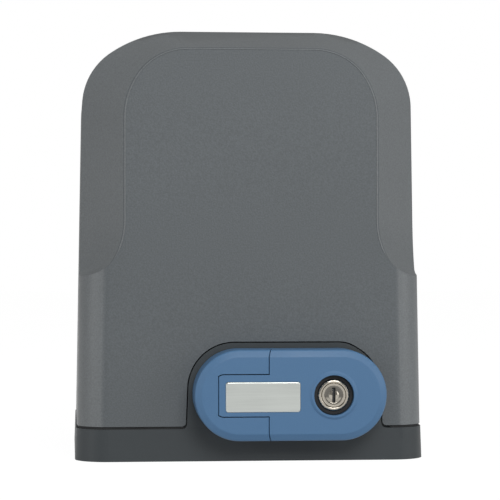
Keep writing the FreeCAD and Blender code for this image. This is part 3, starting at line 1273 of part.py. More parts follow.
def gearbox_housing():
    """Cast housing: drum for the wheel, nose for the shaft, tower for the worm, motor flange."""
    drum = rod_y(HOUSING_RADIUS, GEARBOX_FRONT, COLLAR_END - 4)
    nose = rod_y(NOSE_DIAMETER / 2, COLLAR_END - 5, NOSE_END)
    tower = rod_z(TOWER_RADIUS, BASE_FLOOR + FOOT_PLATE_THICKNESS - 4, HOUSING_TOP, WORM_X, WORM_Y)
    flange = rod_z(MOTOR_RADIUS, HOUSING_TOP - FLANGE_THICKNESS, HOUSING_TOP, WORM_X, WORM_Y)
    x0, x1, y0, y1 = GEARBOX_FOOT
    foot = plate_xy(x0, x1, y0, y1, 8, BASE_FLOOR, BASE_FLOOR + FOOT_PLATE_THICKNESS)
    boss = rod_y(GEARBOX_BOSS_RADIUS, GEARBOX_FRONT, GEARBOX_FRONT + 14,
                 SHAFT_X + GEARBOX_SCREW_CIRCLE, SHAFT_Z)
    ribs = [prism([(HOUSING_TOP - FLANGE_THICKNESS + 1, WORM_X + 12, 0), (BASE_FLOOR + 6, WORM_X + 12, 0),
                   (BASE_FLOOR + 6, WORM_X + 24, 0), (HOUSING_TOP - FLANGE_THICKNESS + 1, WORM_X + 44, 0)],
                  lambda v, u, y=y: Vector(u, y, v), Vector(0, 4, 0)) for y in (WORM_Y - 2,)]
    body = joined(drum, nose, tower, flange, foot, *gearbox_boss_copies(boss), *ribs)
    cavity_end = SPRING_END - 6
    cuts = [
        rod_y(WHEEL_CAVITY_RADIUS, GEARBOX_FRONT - 1, cavity_end),
        rod_y(SLEEVE_DIAMETER / 2 + 1, cavity_end - 1, COLLAR_END + 1),
        rod_y(SHOULDER_DIAMETER / 2 + 1, COLLAR_END, NOSE_END + 1),
        rod_y(REAR_BEARING[1] / 2, REAR_BEARING_START, NOSE_END + 1),
        rod_z(WORM_BEARING[1] / 2, WORM_BEARING_BOTTOM, HOUSING_TOP + 1, WORM_X, WORM_Y),
    ]
    screw = rod_y(M5 / 2, GEARBOX_FRONT - 1, GEARBOX_FRONT + 11, SHAFT_X + GEARBOX_SCREW_CIRCLE, SHAFT_Z)
    cuts += gearbox_boss_copies(screw)
    cuts += [rod_z(M5 / 2 + 0.2, 0, BASE_FLOOR + FOOT_PLATE_THICKNESS + 1, x, y)
             for x, y in gearbox_screw_places()]
    cuts += motor_bolt_copies(rod_z(M5 / 2, HOUSING_TOP - FLANGE_THICKNESS - 1, HOUSING_TOP + 1,
                                    WORM_X + MOTOR_BOLT_CIRCLE / 2, WORM_Y))
    return body.cut(cuts)


def gearbox_cover():
    """Front lid of the gearbox with the front bearing's seat and a lobe for each screw."""
    seat = FRONT_BEARING[1] / 2
    step = GEARBOX_COVER_FACE + 1.5
    body = turned_y([
        (ROD_DIAMETER / 2 + 1, GEARBOX_COVER_FACE), (seat + 4, GEARBOX_COVER_FACE),
        (seat + 4, step), (HOUSING_RADIUS, step), (HOUSING_RADIUS, GEARBOX_FRONT),
        (seat + 6, GEARBOX_FRONT), (seat + 6, FRONT_BEARING_END), (seat, FRONT_BEARING_END),
        (seat, SHAFT_START - REST_GAP), (ROD_DIAMETER / 2 + 1, SHAFT_START - REST_GAP),
    ])
    x = SHAFT_X + GEARBOX_SCREW_CIRCLE
    lobe = rod_y(GEARBOX_BOSS_RADIUS, step, GEARBOX_FRONT, x)
    hole = rod_y(M5 / 2, step - 1, GEARBOX_FRONT + 1, x)
    return joined(body, *gearbox_boss_copies(lobe)).cut(gearbox_boss_copies(hole))


def gearbox_cover_screws():
    """Six socket screws round the gearbox lid."""
    seat = GEARBOX_COVER_FACE + 1.5
    screw = aimed(cap_screw(GEARBOX_FRONT + 10 - seat),
                  Vector(SHAFT_X + GEARBOX_SCREW_CIRCLE, seat, SHAFT_Z), Vector(0, -1, 0))
    return Part.makeCompound(gearbox_boss_copies(screw))


def shaft_bearings():
    """Bearings of the output shaft, in the gearbox lid and in the housing's nose."""
    return Part.makeCompound([bearing_y(FRONT_BEARING, FRONT_BEARING_START),
                              bearing_y(REAR_BEARING, REAR_BEARING_START)])


def shaft_seal():
    """Rubber oil seal behind the rear bearing."""
    return ring_y(SHOULDER_DIAMETER / 2 + SLIDE_GAP, REAR_BEARING[1] / 2, SEAL_START, SEAL_START + SEAL_WIDTH)


# ---- Motor -------------------------------------------------------------------------------

LOWER_MOTOR_BEARING_Z = HOUSING_TOP + 6.0
UPPER_MOTOR_BEARING_Z = MOTOR_TOP - 18.0
SHAFT_TOP = UPPER_MOTOR_BEARING_Z + MOTOR_BEARING[2] - REST_GAP
MOTOR_BOLT_SEAT = MOTOR_TOP - 16.0
WINDING_HEIGHT = 12.0


def motor_bolt_copies(shape):
    """Copies at the four corners of the motor's bolt circle."""
    return round_copies(shape, 4, Vector(WORM_X, WORM_Y, 0), UP, 45)


def motor_bell(profile, bolt_radius):
    """Turned end bell of the motor with its bolt holes."""
    hole = rod_z(bolt_radius, HOUSING_TOP - 1, MOTOR_TOP + 1, WORM_X + MOTOR_BOLT_CIRCLE / 2, WORM_Y)
    return turned_z(profile, WORM_X, WORM_Y).cut(motor_bolt_copies(hole))


def motor_flange():
    """Lower end bell with the lower bearing's seat."""
    seat = MOTOR_BEARING[1] / 2
    z0, z1 = HOUSING_TOP, STATOR_BOTTOM
    top = LOWER_MOTOR_BEARING_Z + MOTOR_BEARING[2]
    return motor_bell([
        (MOTOR_SHAFT_DIAMETER / 2 + 1, z0), (MOTOR_RADIUS, z0), (MOTOR_RADIUS, z1),
        (MOTOR_RADIUS - 8, z1), (MOTOR_RADIUS - 8, z0 + 10), (seat + 5, z0 + 10), (seat + 5, top),
        (seat, top), (seat, LOWER_MOTOR_BEARING_Z), (MOTOR_SHAFT_DIAMETER / 2 + 1, LOWER_MOTOR_BEARING_Z),
    ], M5 / 2 + 0.2)


def motor_cap():
    """Upper end bell with the upper bearing's seat and a sloping edge."""
    seat = MOTOR_BEARING[1] / 2
    low, roof = UPPER_MOTOR_BEARING_Z, UPPER_MOTOR_BEARING_Z + MOTOR_BEARING[2]
    body = motor_bell([
        (0, roof), (0, MOTOR_TOP), (MOTOR_RADIUS - 10, MOTOR_TOP), (MOTOR_RADIUS, MOTOR_TOP - 14),
        (MOTOR_RADIUS, STATOR_TOP), (MOTOR_RADIUS - 8, STATOR_TOP), (MOTOR_RADIUS - 8, roof),
        (seat + 5, roof), (seat + 5, low), (seat, low), (seat, roof),
    ], M5 / 2 + 0.2)
    return body.cut(motor_bolt_copies(
        rod_z(M5_HEAD / 2 + REST_GAP, MOTOR_BOLT_SEAT, MOTOR_TOP + 1, WORM_X + MOTOR_BOLT_CIRCLE / 2, WORM_Y)
    ))


def stator():
    """Laminated stator ring."""
    bore = STATOR_BORE / 2
    return motor_bell([(bore, STATOR_BOTTOM), (MOTOR_RADIUS, STATOR_BOTTOM), (MOTOR_RADIUS, STATOR_TOP),
                       (bore, STATOR_TOP)], M5 / 2 + 0.2)


def windings():
    """End turns of the copper windings, above and below the laminations."""
    inner, outer = STATOR_BORE / 2 + 2.5, MOTOR_RADIUS - 9
    return Part.makeCompound([
        turned_z([(inner, z0), (outer, z0), (outer, z0 + WINDING_HEIGHT), (inner, z0 + WINDING_HEIGHT)],
                 WORM_X, WORM_Y) for z0 in (STATOR_TOP, STATOR_BOTTOM - WINDING_HEIGHT)
    ])


def rotor():
    """Squirrel-cage rotor on the worm shaft."""
    middle = (STATOR_BOTTOM + STATOR_TOP) / 2
    low, high = middle - ROTOR_LENGTH / 2, middle + ROTOR_LENGTH / 2
    radius, bore = ROTOR_DIAMETER / 2, MOTOR_SHAFT_DIAMETER / 2
    return turned_z([(bore, low), (radius, low), (radius, high), (bore, high)], WORM_X, WORM_Y)


def motor_bolts():
    """Four long bolts through the motor into the gearbox flange."""
    low = HOUSING_TOP - FLANGE_THICKNESS + 1
    bolt = aimed(cap_screw(MOTOR_BOLT_SEAT - low),
                 Vector(WORM_X + MOTOR_BOLT_CIRCLE / 2, WORM_Y, MOTOR_BOLT_SEAT), UP)
    return Part.makeCompound(motor_bolt_copies(bolt))


def rotor_bearings():
    """Bearings of the rotor: one under the worm and one in each end bell."""
    return Part.makeCompound([
        bearing_z(WORM_BEARING, WORM_BEARING_BOTTOM),
        bearing_z(MOTOR_BEARING, LOWER_MOTOR_BEARING_Z),
        bearing_z(MOTOR_BEARING, UPPER_MOTOR_BEARING_Z),
    ])


# ---- Electrics ---------------------------------------------------------------------------

BOARD_SCREW_INSET = 5.0


def board_screw_places():
    """Corners of the circuit board where it stands off the bracket."""
    inset = BOARD_SCREW_INSET
    return [(x, z) for x in (BOARD_LEFT + inset, BOARD_LEFT + BOARD_WIDTH - inset)
            for z in (BOARD_BOTTOM + inset, BOARD_BOTTOM + BOARD_HEIGHT - inset)]


def board_bracket():
    """Bent steel sheet that carries the circuit board above the floor."""
    x0, x1 = BRACKET_LEFT, BRACKET_LEFT + BRACKET_WIDTH
    y0, y1 = BRACKET_Y, BRACKET_Y + BRACKET_SHEET
    sheet = plate_xz(x0, x1, BASE_FLOOR, BASE_FLOOR + BRACKET_HEIGHT, 0, y0, y1)
    foot = block(x0, x1, y0, y1 + BRACKET_FOOT, BASE_FLOOR, BASE_FLOOR + BRACKET_SHEET)
    stiffener = block(x0, x0 + BRACKET_SHEET, y0, y1 + 10, BASE_FLOOR + 30, BASE_FLOOR + BRACKET_HEIGHT)
    body = joined(sheet, foot, stiffener)
    opening = plate_xz(x0 + 18, x1 - 18, BASE_FLOOR + 20, BOARD_BOTTOM - 20, 6, y0 - 1, y1 + 1)
    cuts = [opening] + [rod_y(1.6, y0 - 1, y1 + 1, x, z) for x, z in board_screw_places()]
    cuts += [rod_z(M5 / 2 + 0.2, 0, BASE_FLOOR + 5, x, y) for x, y in bracket_screw_places()]
    return body.cut(cuts)


def board_standoffs():
    """Hexagon spacers between the bracket and the board, with a screw through each."""
    posts = []
    for x, z in board_screw_places():
        post = aimed(hexagon(5.5, 0, STANDOFF), Vector(x, BOARD_BACK_Y, z), BACK)
        screw = rod_y(1.5, BOARD_FRONT_Y - 1, BRACKET_Y + BRACKET_SHEET, x, z)
        head = rod_y(2.8, BOARD_FRONT_Y - 2, BOARD_FRONT_Y, x, z)
        posts.append(joined(post, screw, head))
    return Part.makeCompound(posts)


def circuit_board():
    """Control board, upright behind the front of the cover."""
    board = plate_xz(BOARD_LEFT, BOARD_LEFT + BOARD_WIDTH, BOARD_BOTTOM, BOARD_BOTTOM + BOARD_HEIGHT,
                     2, BOARD_FRONT_Y, BOARD_BACK_Y)
    return board.cut([rod_y(1.5, BOARD_FRONT_Y - 1, BOARD_BACK_Y + 1, x, z)
                      for x, z in board_screw_places()])


def on_board(x, z, width, height, depth, radius=0.0):
    """Block that stands on the front of the board; x and z run from its lower left corner."""
    left, bottom = BOARD_LEFT + x, BOARD_BOTTOM + z
    return plate_xz(left, left + width, bottom, bottom + height, radius,
                    BOARD_FRONT_Y - depth, BOARD_FRONT_Y)


def terminal_blocks():
    """Row of plug-in screw terminals along the board's lower edge."""
    pitch, count, height, depth = 5.0, 14, 11.0, 10.0
    row = on_board(14, 4, pitch * count, height, depth)
    places = [BOARD_LEFT + 14 + pitch * (k + 0.5) for k in range(count)]
    face = BOARD_FRONT_Y - depth
    cuts = [block(x - 1.7, x + 1.7, face - 1, face + 4, BOARD_BOTTOM + 5, BOARD_BOTTOM + 8.5)
            for x in places]
    return row.cut(cuts)


def relays():
    """Three power relays."""
    return Part.makeCompound([on_board(14 + 21 * k, 22, 18, 15, 14) for k in range(3)])


def board_parts():
    """Processor, display, radio module, smoothing capacitors and fuse."""
    pieces = [on_board(38, 62, 14, 14, 2.2), on_board(60, 92, 25, 14, 6),
              on_board(14, 96, 30, 18, 4), on_board(12, 44, 30, 9, 8, 1)]
    for x, z in ((86, 30), (86, 46)):
        y = BOARD_FRONT_Y
        pieces.append(turned_y([(0, y - 13), (4.2, y - 13), (5, y - 12.2), (5, y), (0, y)],
                               BOARD_LEFT + x, BOARD_BOTTOM + z))
    body = on_board(BUTTON_X - 4, BUTTON_Z - 4, 8, 8, 3.5)
    pieces.append(body.cut(button_solid(SLIDE_GAP * 4, BUTTON_TRAVEL + 0.1)))
    return Part.makeCompound(pieces)


BUTTON_X = 72.0
BUTTON_Z = 72.0


def button_solid(grow, deeper):
    """Plunger of the learn button."""
    return rod_y(2.2 + grow, BOARD_FRONT_Y - 6, BOARD_FRONT_Y - 2 + deeper,
                 BOARD_LEFT + BUTTON_X, BOARD_BOTTOM + BUTTON_Z)


def learn_button():
    """Push button that stores a new hand transmitter."""
    return button_solid(0.0, 0.0)


def transformer():
    """Laminated core with its winding and two fixing ears."""
    width, depth, height = TRANSFORMER_SIZE
    x0, x1 = TRANSFORMER_X - width / 2, TRANSFORMER_X + width / 2
    y0, y1 = TRANSFORMER_Y - depth / 2, TRANSFORMER_Y + depth / 2
    z0 = BASE_FLOOR
    reach = TRANSFORMER_EAR_REACH
    core = block(x0, x1, y0 + 9, y1 - 9, z0, z0 + height - 9)
    winding = plate_xy(x0 + 10, x1 - 10, y0, y1, 6, z0 + 9, z0 + height)
    ears = plate_xy(TRANSFORMER_X - 10, TRANSFORMER_X + 10, y0 - reach, y1 + reach, 3,
                    z0, z0 + TRANSFORMER_EAR)
    body = joined(core, winding, ears)
    return body.cut([rod_z(M5 / 2 + 0.2, z0 - 1, z0 + 5, x, y) for x, y in transformer_screw_places()])


def capacitor():
    """Motor run capacitor with its two tabs."""
    radius = CAPACITOR_DIAMETER / 2
    z0, z1 = BASE_FLOOR, BASE_FLOOR + CAPACITOR_HEIGHT
    can = turned_z([(0, z0), (radius - 1, z0), (radius, z0 + 1), (radius, z1 - 3), (radius - 3, z1),
                    (0, z1)], CAPACITOR_X, CAPACITOR_Y)
    tabs = [block(CAPACITOR_X + s * 6 - 0.4, CAPACITOR_X + s * 6 + 0.4, CAPACITOR_Y - 3, CAPACITOR_Y + 3,
                  z1 - 1, z1 + 9) for s in (-1, 1)]
    return joined(can, *tabs)


def capacitor_clamp():
    """Plastic cup that holds the capacitor upright on the floor."""
    inner, z0 = CAPACITOR_DIAMETER / 2, BASE_FLOOR
    ring = turned_z([(inner, z0), (inner + 5, z0), (inner + 5, z0 + 2), (inner + 2, z0 + 4),
                     (inner + 2, z0 + 24), (inner, z0 + 24)], CAPACITOR_X, CAPACITOR_Y)
    return ring.cut(block(CAPACITOR_X - 3, CAPACITOR_X + 3, CAPACITOR_Y, CAPACITOR_Y + inner + 6,
                          z0 + 6, z0 + 25))


# ---- Limit switch ------------------------------------------------------------------------

LIMIT_HUB_RADIUS = 5.0
LIMIT_ARM_RADIUS = 1.6


def limit_box():
    """Open box on the rear tongue that holds the limit switches."""
    half = LIMIT_BOX_WIDTH / 2
    wall = LIMIT_WALL
    outer = plate_xz(SHAFT_X - half, SHAFT_X + half, LIMIT_BOTTOM, LIMIT_TOP, 2, LIMIT_FRONT, LIMIT_BACK)
    inner = block(SHAFT_X - half + wall, SHAFT_X + half - wall, LIMIT_FRONT - 1, LIMIT_BACK - wall,
                  LIMIT_BOTTOM + wall, LIMIT_TOP - wall)
    window = plate_xz(SHAFT_X - LIMIT_SLOT_HALF_WIDTH, SHAFT_X + LIMIT_SLOT_HALF_WIDTH,
                      LIMIT_Z - LIMIT_SLOT_HALF_HEIGHT, LIMIT_Z + LIMIT_SLOT_HALF_HEIGHT,
                      LIMIT_SLOT_HALF_HEIGHT - 1, LIMIT_BACK - wall - 1, LIMIT_BACK + 1)
    body = outer.cut([inner, window])
    pivot = rod_z(1.5, LIMIT_BOTTOM + wall / 2, LIMIT_TOP - wall / 2, SHAFT_X, LIMIT_PIVOT_Y)
    return joined(body, pivot)


def limit_lid():
    """Snap-in lid on the inner side of the limit box."""
    half = LIMIT_BOX_WIDTH / 2
    lid = plate_xz(SHAFT_X - half, SHAFT_X + half, LIMIT_BOTTOM, LIMIT_TOP, 2,
                   LIMIT_FRONT - LIMIT_WALL, LIMIT_FRONT)
    return lid


def limit_switches():
    """Two microswitches, one each side of the arm, with their plungers towards it."""
    near, tip = 13.5, 7.4
    far = LIMIT_BOX_WIDTH / 2 - LIMIT_WALL
    y0, y1 = LIMIT_FRONT, LIMIT_FRONT + 6.5
    switches = []
    for side in (-1, 1):
        x0, x1 = sorted((SHAFT_X + side * near, SHAFT_X + side * far))
        body = block(x0, x1, y0, y1, LIMIT_BOTTOM + LIMIT_WALL, LIMIT_TOP - LIMIT_WALL)
        x0, x1 = sorted((SHAFT_X + side * (near + 1), SHAFT_X + side * tip))
        switches.append(joined(body, rod_x(1.2, x0, x1, (y0 + y1) / 2, LIMIT_Z)))
    return Part.makeCompound(switches)


def limit_arm():
    """Pivoting arm that the rack's end plates push over."""
    half = LIMIT_BOX_HEIGHT / 2 - LIMIT_WALL - REST_GAP
    hub = rod_z(LIMIT_HUB_RADIUS, LIMIT_Z - half, LIMIT_Z + half, SHAFT_X, LIMIT_PIVOT_Y)
    stem = rod_y(LIMIT_ARM_RADIUS, LIMIT_PIVOT_Y, LIMIT_PIVOT_Y + LIMIT_REACH - 1, SHAFT_X, LIMIT_Z)
    cup = rod_y(LIMIT_SPRING_DIAMETER / 2, LIMIT_PIVOT_Y, LIMIT_BACK + 1, SHAFT_X, LIMIT_Z)
    tip_y = LIMIT_PIVOT_Y + LIMIT_REACH
    tip = turned_y([(0, tip_y - 4), (LIMIT_SPRING_DIAMETER / 2, tip_y - 4),
                    (LIMIT_SPRING_DIAMETER / 2, tip_y - 1.5), (LIMIT_SPRING_DIAMETER / 2 - 1.5, tip_y),
                    (0, tip_y)], SHAFT_X, LIMIT_Z)
    toe = block(SHAFT_X - 3, SHAFT_X + 3, LIMIT_FRONT + 1.2, LIMIT_PIVOT_Y, LIMIT_Z - 5, LIMIT_Z + 5)
    body = joined(hub, stem, cup, tip, toe)
    return body.cut(rod_z(1.5 + SLIDE_GAP, LIMIT_Z - half - 1, LIMIT_Z + half + 1, SHAFT_X, LIMIT_PIVOT_Y))


def limit_spring():
    """Coil spring round the limit arm, which gives when the rack overruns."""
    y0 = LIMIT_BACK + 1 + REST_GAP + LIMIT_SPRING_WIRE / 2
    y1 = LIMIT_PIVOT_Y + LIMIT_REACH - 4 - REST_GAP - LIMIT_SPRING_WIRE / 2
    mean = (LIMIT_SPRING_DIAMETER - LIMIT_SPRING_WIRE) / 2
    turns = round((y1 - y0) / LIMIT_SPRING_PITCH)
    spring = coil(mean, LIMIT_SPRING_WIRE, y1 - y0, turns, LIMIT_SPRING_STEPS)
    spring.rotate(Vector(0, 0, 0), RIGHT, -90)
    spring.translate(Vector(SHAFT_X, y0, LIMIT_Z))
    return spring


# ---- Nodes -------------------------------------------------------------------------------

NODES = [
    base, cover_seal, levelling_screws, floor_screws, hinge_bracket, bracket_screws, hinge_pin,
    rod_guide, gearbox_housing, gearbox_cover, gearbox_cover_screws, shaft_bearings,
    shaft_seal, motor_flange, stator, windings, motor_cap, motor_bolts,
    rotor_bearings, board_bracket, board_standoffs, circuit_board,
    terminal_blocks, relays, board_parts, transformer, capacitor, capacitor_clamp, limit_box,
    limit_lid, limit_switches, cover, cover_screws, cover_nuts, release_lever, badge_plate,
    lock_barrel, lock_nut, lock_plug, lock_cam, release_rod, clutch_sleeve, cross_pin,
    clutch_spring, output_shaft, shaft_key, pinion, pinion_washer, pinion_bolt, worm_wheel,
    worm_shaft, rotor, limit_arm, limit_spring, learn_button,
]

os.makedirs("parts", exist_ok=True)
for build_node in NODES:
    solid = build_node()
    solid.exportStep("parts/" + build_node.__name__ + ".step")
    print(build_node.__name__, len(solid.Solids), solid.isValid(), round(solid.Volume))
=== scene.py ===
# %% [markdown]
# # A sliding gate motor, dressed and lit
# The engineering model gives every piece its true shape and place. Here each piece gets its
# finish, the soft edges that catch the light, and the small things that an engineering model
# leaves out: the lip round the front panel, the rings turned into the lock, smooth spring wire,
# chips, solder and screw heads on the circuit board. All lengths are in metres, so a millimetre has a name.

import json
import math

import bmesh
import bpy
from mathutils import Matrix, Vector


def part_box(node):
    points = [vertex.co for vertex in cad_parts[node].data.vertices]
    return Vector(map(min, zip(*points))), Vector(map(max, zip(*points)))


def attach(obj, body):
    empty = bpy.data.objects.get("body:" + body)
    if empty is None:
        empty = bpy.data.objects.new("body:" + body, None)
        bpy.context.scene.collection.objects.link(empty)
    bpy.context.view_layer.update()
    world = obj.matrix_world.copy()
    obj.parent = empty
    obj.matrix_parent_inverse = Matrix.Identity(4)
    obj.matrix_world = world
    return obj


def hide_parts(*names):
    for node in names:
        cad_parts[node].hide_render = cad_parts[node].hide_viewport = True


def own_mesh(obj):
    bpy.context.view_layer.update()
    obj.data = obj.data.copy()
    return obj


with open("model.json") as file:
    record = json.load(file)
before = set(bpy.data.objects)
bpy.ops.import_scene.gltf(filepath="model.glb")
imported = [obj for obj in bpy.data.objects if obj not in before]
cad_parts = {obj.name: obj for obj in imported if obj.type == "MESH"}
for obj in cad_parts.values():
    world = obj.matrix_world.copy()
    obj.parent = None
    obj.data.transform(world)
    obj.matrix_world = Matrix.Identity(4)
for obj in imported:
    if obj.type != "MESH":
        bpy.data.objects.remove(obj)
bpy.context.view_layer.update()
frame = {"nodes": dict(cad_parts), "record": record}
scene = bpy.context.scene
MM = 0.001
BODY_OF = {node: body for body, nodes in frame["record"]["behaviour"]["bodies"].items() for node in nodes}
SLOT_OF = {part["node"]: part["material_slot"] for part in frame["record"]["subparts"]}

# %% [markdown]
# ## Colours
# A hex colour says how a colour looks on a screen, while a shader wants linear light. One function
# turns each pair of hex digits into a linear value, by the sRGB curve.


# %% Colour from hex
def colour(code):
    """Linear RGBA from an sRGB hex colour."""
    parts = [int(code[k:k + 2], 16) / 255 for k in (0, 2, 4)]
    linear = [p / 12.92 if p <= 0.04045 else ((p + 0.055) / 1.055) ** 2.4 for p in parts]
    return (*linear, 1.0)


print("mid grey", [round(v, 3) for v in colour("808080")])

# %% [markdown]
# ## Building materials from nodes
# Every finish is a Principled shader fed by a few nodes. One function adds a node, sets it up and
# feeds it, so each material reads as a short recipe. The patterns sit on Object coordinates,
# which are metres on these pieces, so a scale of 1 / size gives a pattern of a real size.


# %% Node helpers
def feed_inputs(tree, node, feed):
    """Sets a node's inputs to values, or links them to other nodes' outputs."""
    for name, value in feed.items():
        if isinstance(value, bpy.types.NodeSocket):
            tree.links.new(value, node.inputs[name])
        else:
            node.inputs[name].default_value = value


def add(tree, kind, feed, output=0, **settings):
    """Adds a node and gives its output."""
    node = tree.nodes.new(kind)
    for name, value in settings.items():
        setattr(node, name, value)
    feed_inputs(tree, node, feed)
    return node.outputs[output]


def spread(tree, value, low, high, start=0.3, end=0.7):
    """Stretches a pattern's middle range over low to high."""
    return add(tree, "ShaderNodeMapRange", {"Value": value, "From Min": start, "From Max": end,
                                            "To Min": low, "To Max": high})


def new_material(name):
    """Empty material, with its tree, its Principled shader and its Object coordinates."""
    material = bpy.data.materials.new(name)
    material.use_nodes = True
    tree = material.node_tree
    return material, tree, tree.nodes["Principled BSDF"], add(tree, "ShaderNodeTexCoord", {}, "Object")


print("node helpers ready")

# %% [markdown]
# ## Moulded cover, in weatherproof ASA
# Gate motors stand outside, so the cover is ASA, a plastic that keeps its colour in sunlight. Its
# tool is spark-eroded on the front panel, which prints a fine even grain, and is finer on the
# slanted band round it, which therefore looks smoother and glossier. The band, and the thin lip
# that stands proud of the panel, also get a lighter grey than the panel: a painted highlight for
# the light that the slant catches. The panel leans back by half a degree, so a dot product with
# that lean tells the panel from the band: it is the distance from the panel's plane. The real
# grain is about 0.3 mm. It is drawn at 1.1 mm, about the finest that still shows from where the
# camera stands.

# %% Where the panel's plane is
LEAN = math.tan(math.radians(0.5))
PANEL_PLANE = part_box("cover")[0][1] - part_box("cover")[0][2] * LEAN
print("panel plane at", round(PANEL_PLANE, 5))


# %% Moulded cover material
def moulded_asa():
    """Grained grey ASA with a smoother band round the front panel, whose lighter grey is a painted highlight."""
    material, tree, shader, coords = new_material("moulded_asa_grey")
    depth = add(tree, "ShaderNodeVectorMath", {0: coords, 1: (0, 1, -LEAN)}, "Value", operation="DOT_PRODUCT")
    behind = spread(tree, depth, 1.0, 0.0, PANEL_PLANE + 0.3 * MM, PANEL_PLANE + 1.0 * MM)
    proud = spread(tree, depth, 0.0, 1.0, PANEL_PLANE - 0.2 * MM, PANEL_PLANE - 0.08 * MM)
    panel = add(tree, "ShaderNodeMath", {0: behind, 1: proud}, operation="MULTIPLY")
    grain = add(tree, "ShaderNodeTexNoise", {"Vector": coords, "Scale": 1 / (1.1 * MM), "Detail": 2.0})
    cloud = add(tree, "ShaderNodeTexNoise", {"Vector": coords, "Scale": 1 / 0.11, "Detail": 2.0})
    # Painted highlight: the band and the lip get the lighter grey, the panel the darker one.
    tint = add(tree, "ShaderNodeMix", {0: panel, 6: colour("6b6f71"), 7: colour("575c5f")}, 2,
               data_type="RGBA")
    light = add(tree, "ShaderNodeMath", {0: spread(tree, grain, 0.87, 1.13), 1: spread(tree, cloud, 0.97, 1.03)},
                operation="MULTIPLY")
    shade = add(tree, "ShaderNodeVectorMath", {0: tint, "Scale": light}, operation="SCALE")
    relief = spread(tree, panel, 0.15, 0.6, 0.0, 1.0)
    bump = add(tree, "ShaderNodeBump", {"Height": grain, "Strength": relief, "Distance": 0.15 * MM})
    gloss = spread(tree, panel, 0.4, 0.55, 0.0, 1.0)
    feed_inputs(tree, shader, {"Base Color": shade, "Roughness": gloss, "Normal": bump, "IOR": 1.5})
    return material


# %% [markdown]
# ## One recipe for plain moulded, coated and metal pieces
# Most finishes differ only in colour, gloss, metal and in the size and depth of one fine pattern:
# the orange peel of powder coat, the grain of a moulded handle, the sand of a casting. A stretched
# pattern gives brushed or turned metal, because the tool leaves long marks. A second, larger
# pattern makes the gloss uneven, as handling does. Each finish below states its real pattern size.
# Metals keep the shader's own refractive index; plastics are about 1.5.


# %% Grained finishes
def grained(name, code, roughness, grain, relief, metallic=0.0, fleck=0.04, stretch=(1, 1, 1)):
    """Finish with one fine pattern of a real size, which moves colour and relief."""
    material, tree, shader, coords = new_material(name)
    laid = add(tree, "ShaderNodeMapping", {"Vector": coords, "Scale": stretch})
    fine = add(tree, "ShaderNodeTexNoise", {"Vector": laid, "Scale": 1 / grain, "Detail": 3.0})
    worn = add(tree, "ShaderNodeTexNoise", {"Vector": coords, "Scale": 1 / 0.035, "Detail": 3.0})
    shade = add(tree, "ShaderNodeVectorMath",
                {0: colour(code)[:3], "Scale": spread(tree, fine, 1 - fleck, 1 + fleck)}, operation="SCALE")
    gloss = spread(tree, worn, roughness * 0.88, min(1.0, roughness * 1.12))
    bump = add(tree, "ShaderNodeBump", {"Height": fine, "Strength": 0.35, "Distance": relief})
    feed_inputs(tree, shader, {"Base Color": shade, "Roughness": gloss, "Normal": bump, "Metallic": metallic})
    if not metallic:
        shader.inputs["IOR"].default_value = 1.5
    return material


# %% [markdown]
# ## Circuit board
# Solder mask is a green lacquer over copper tracks. The tracks show through as slightly lighter,
# slightly raised lines that run up, across and at right angles, so a Brick texture of 2.5 mm
# cells, whose mortar is the track, is close to how a routed board looks.


# %% Board material
def solder_mask():
    """Green lacquer with the copper tracks showing through."""
    material, tree, shader, coords = new_material("solder_mask_green")
    upright = add(tree, "ShaderNodeVectorRotate", {"Vector": coords, "Angle": math.pi / 2}, rotation_type="X_AXIS")
    tracks = add(tree, "ShaderNodeTexBrick", {
        "Vector": upright, "Scale": 1.0, "Mortar Size": 0.35 * MM, "Mortar Smooth": 0.3,
        "Brick Width": 9.0 * MM, "Row Height": 2.5 * MM,
    }, "Fac")
    tint = add(tree, "ShaderNodeMix", {0: tracks, 6: colour("17492b"), 7: colour("2c7347")}, 2, data_type="RGBA")
    bump = add(tree, "ShaderNodeBump", {"Height": tracks, "Strength": 0.5, "Distance": 0.05 * MM})
    feed_inputs(tree, shader, {"Base Color": tint, "Roughness": 0.32, "Normal": bump, "IOR": 1.5})
    return material


# %% [markdown]
# ## Lock
# The face of the plug is bright plating on the dome and the rim. The ring between them is darker
# and a little duller: its darker colour is painted shade and a painted reflection. Polished plating
# mirrors the room, and this studio is white all round, so the dark upper half that a real room
# gives is painted in: the ring is darkest above the axis.


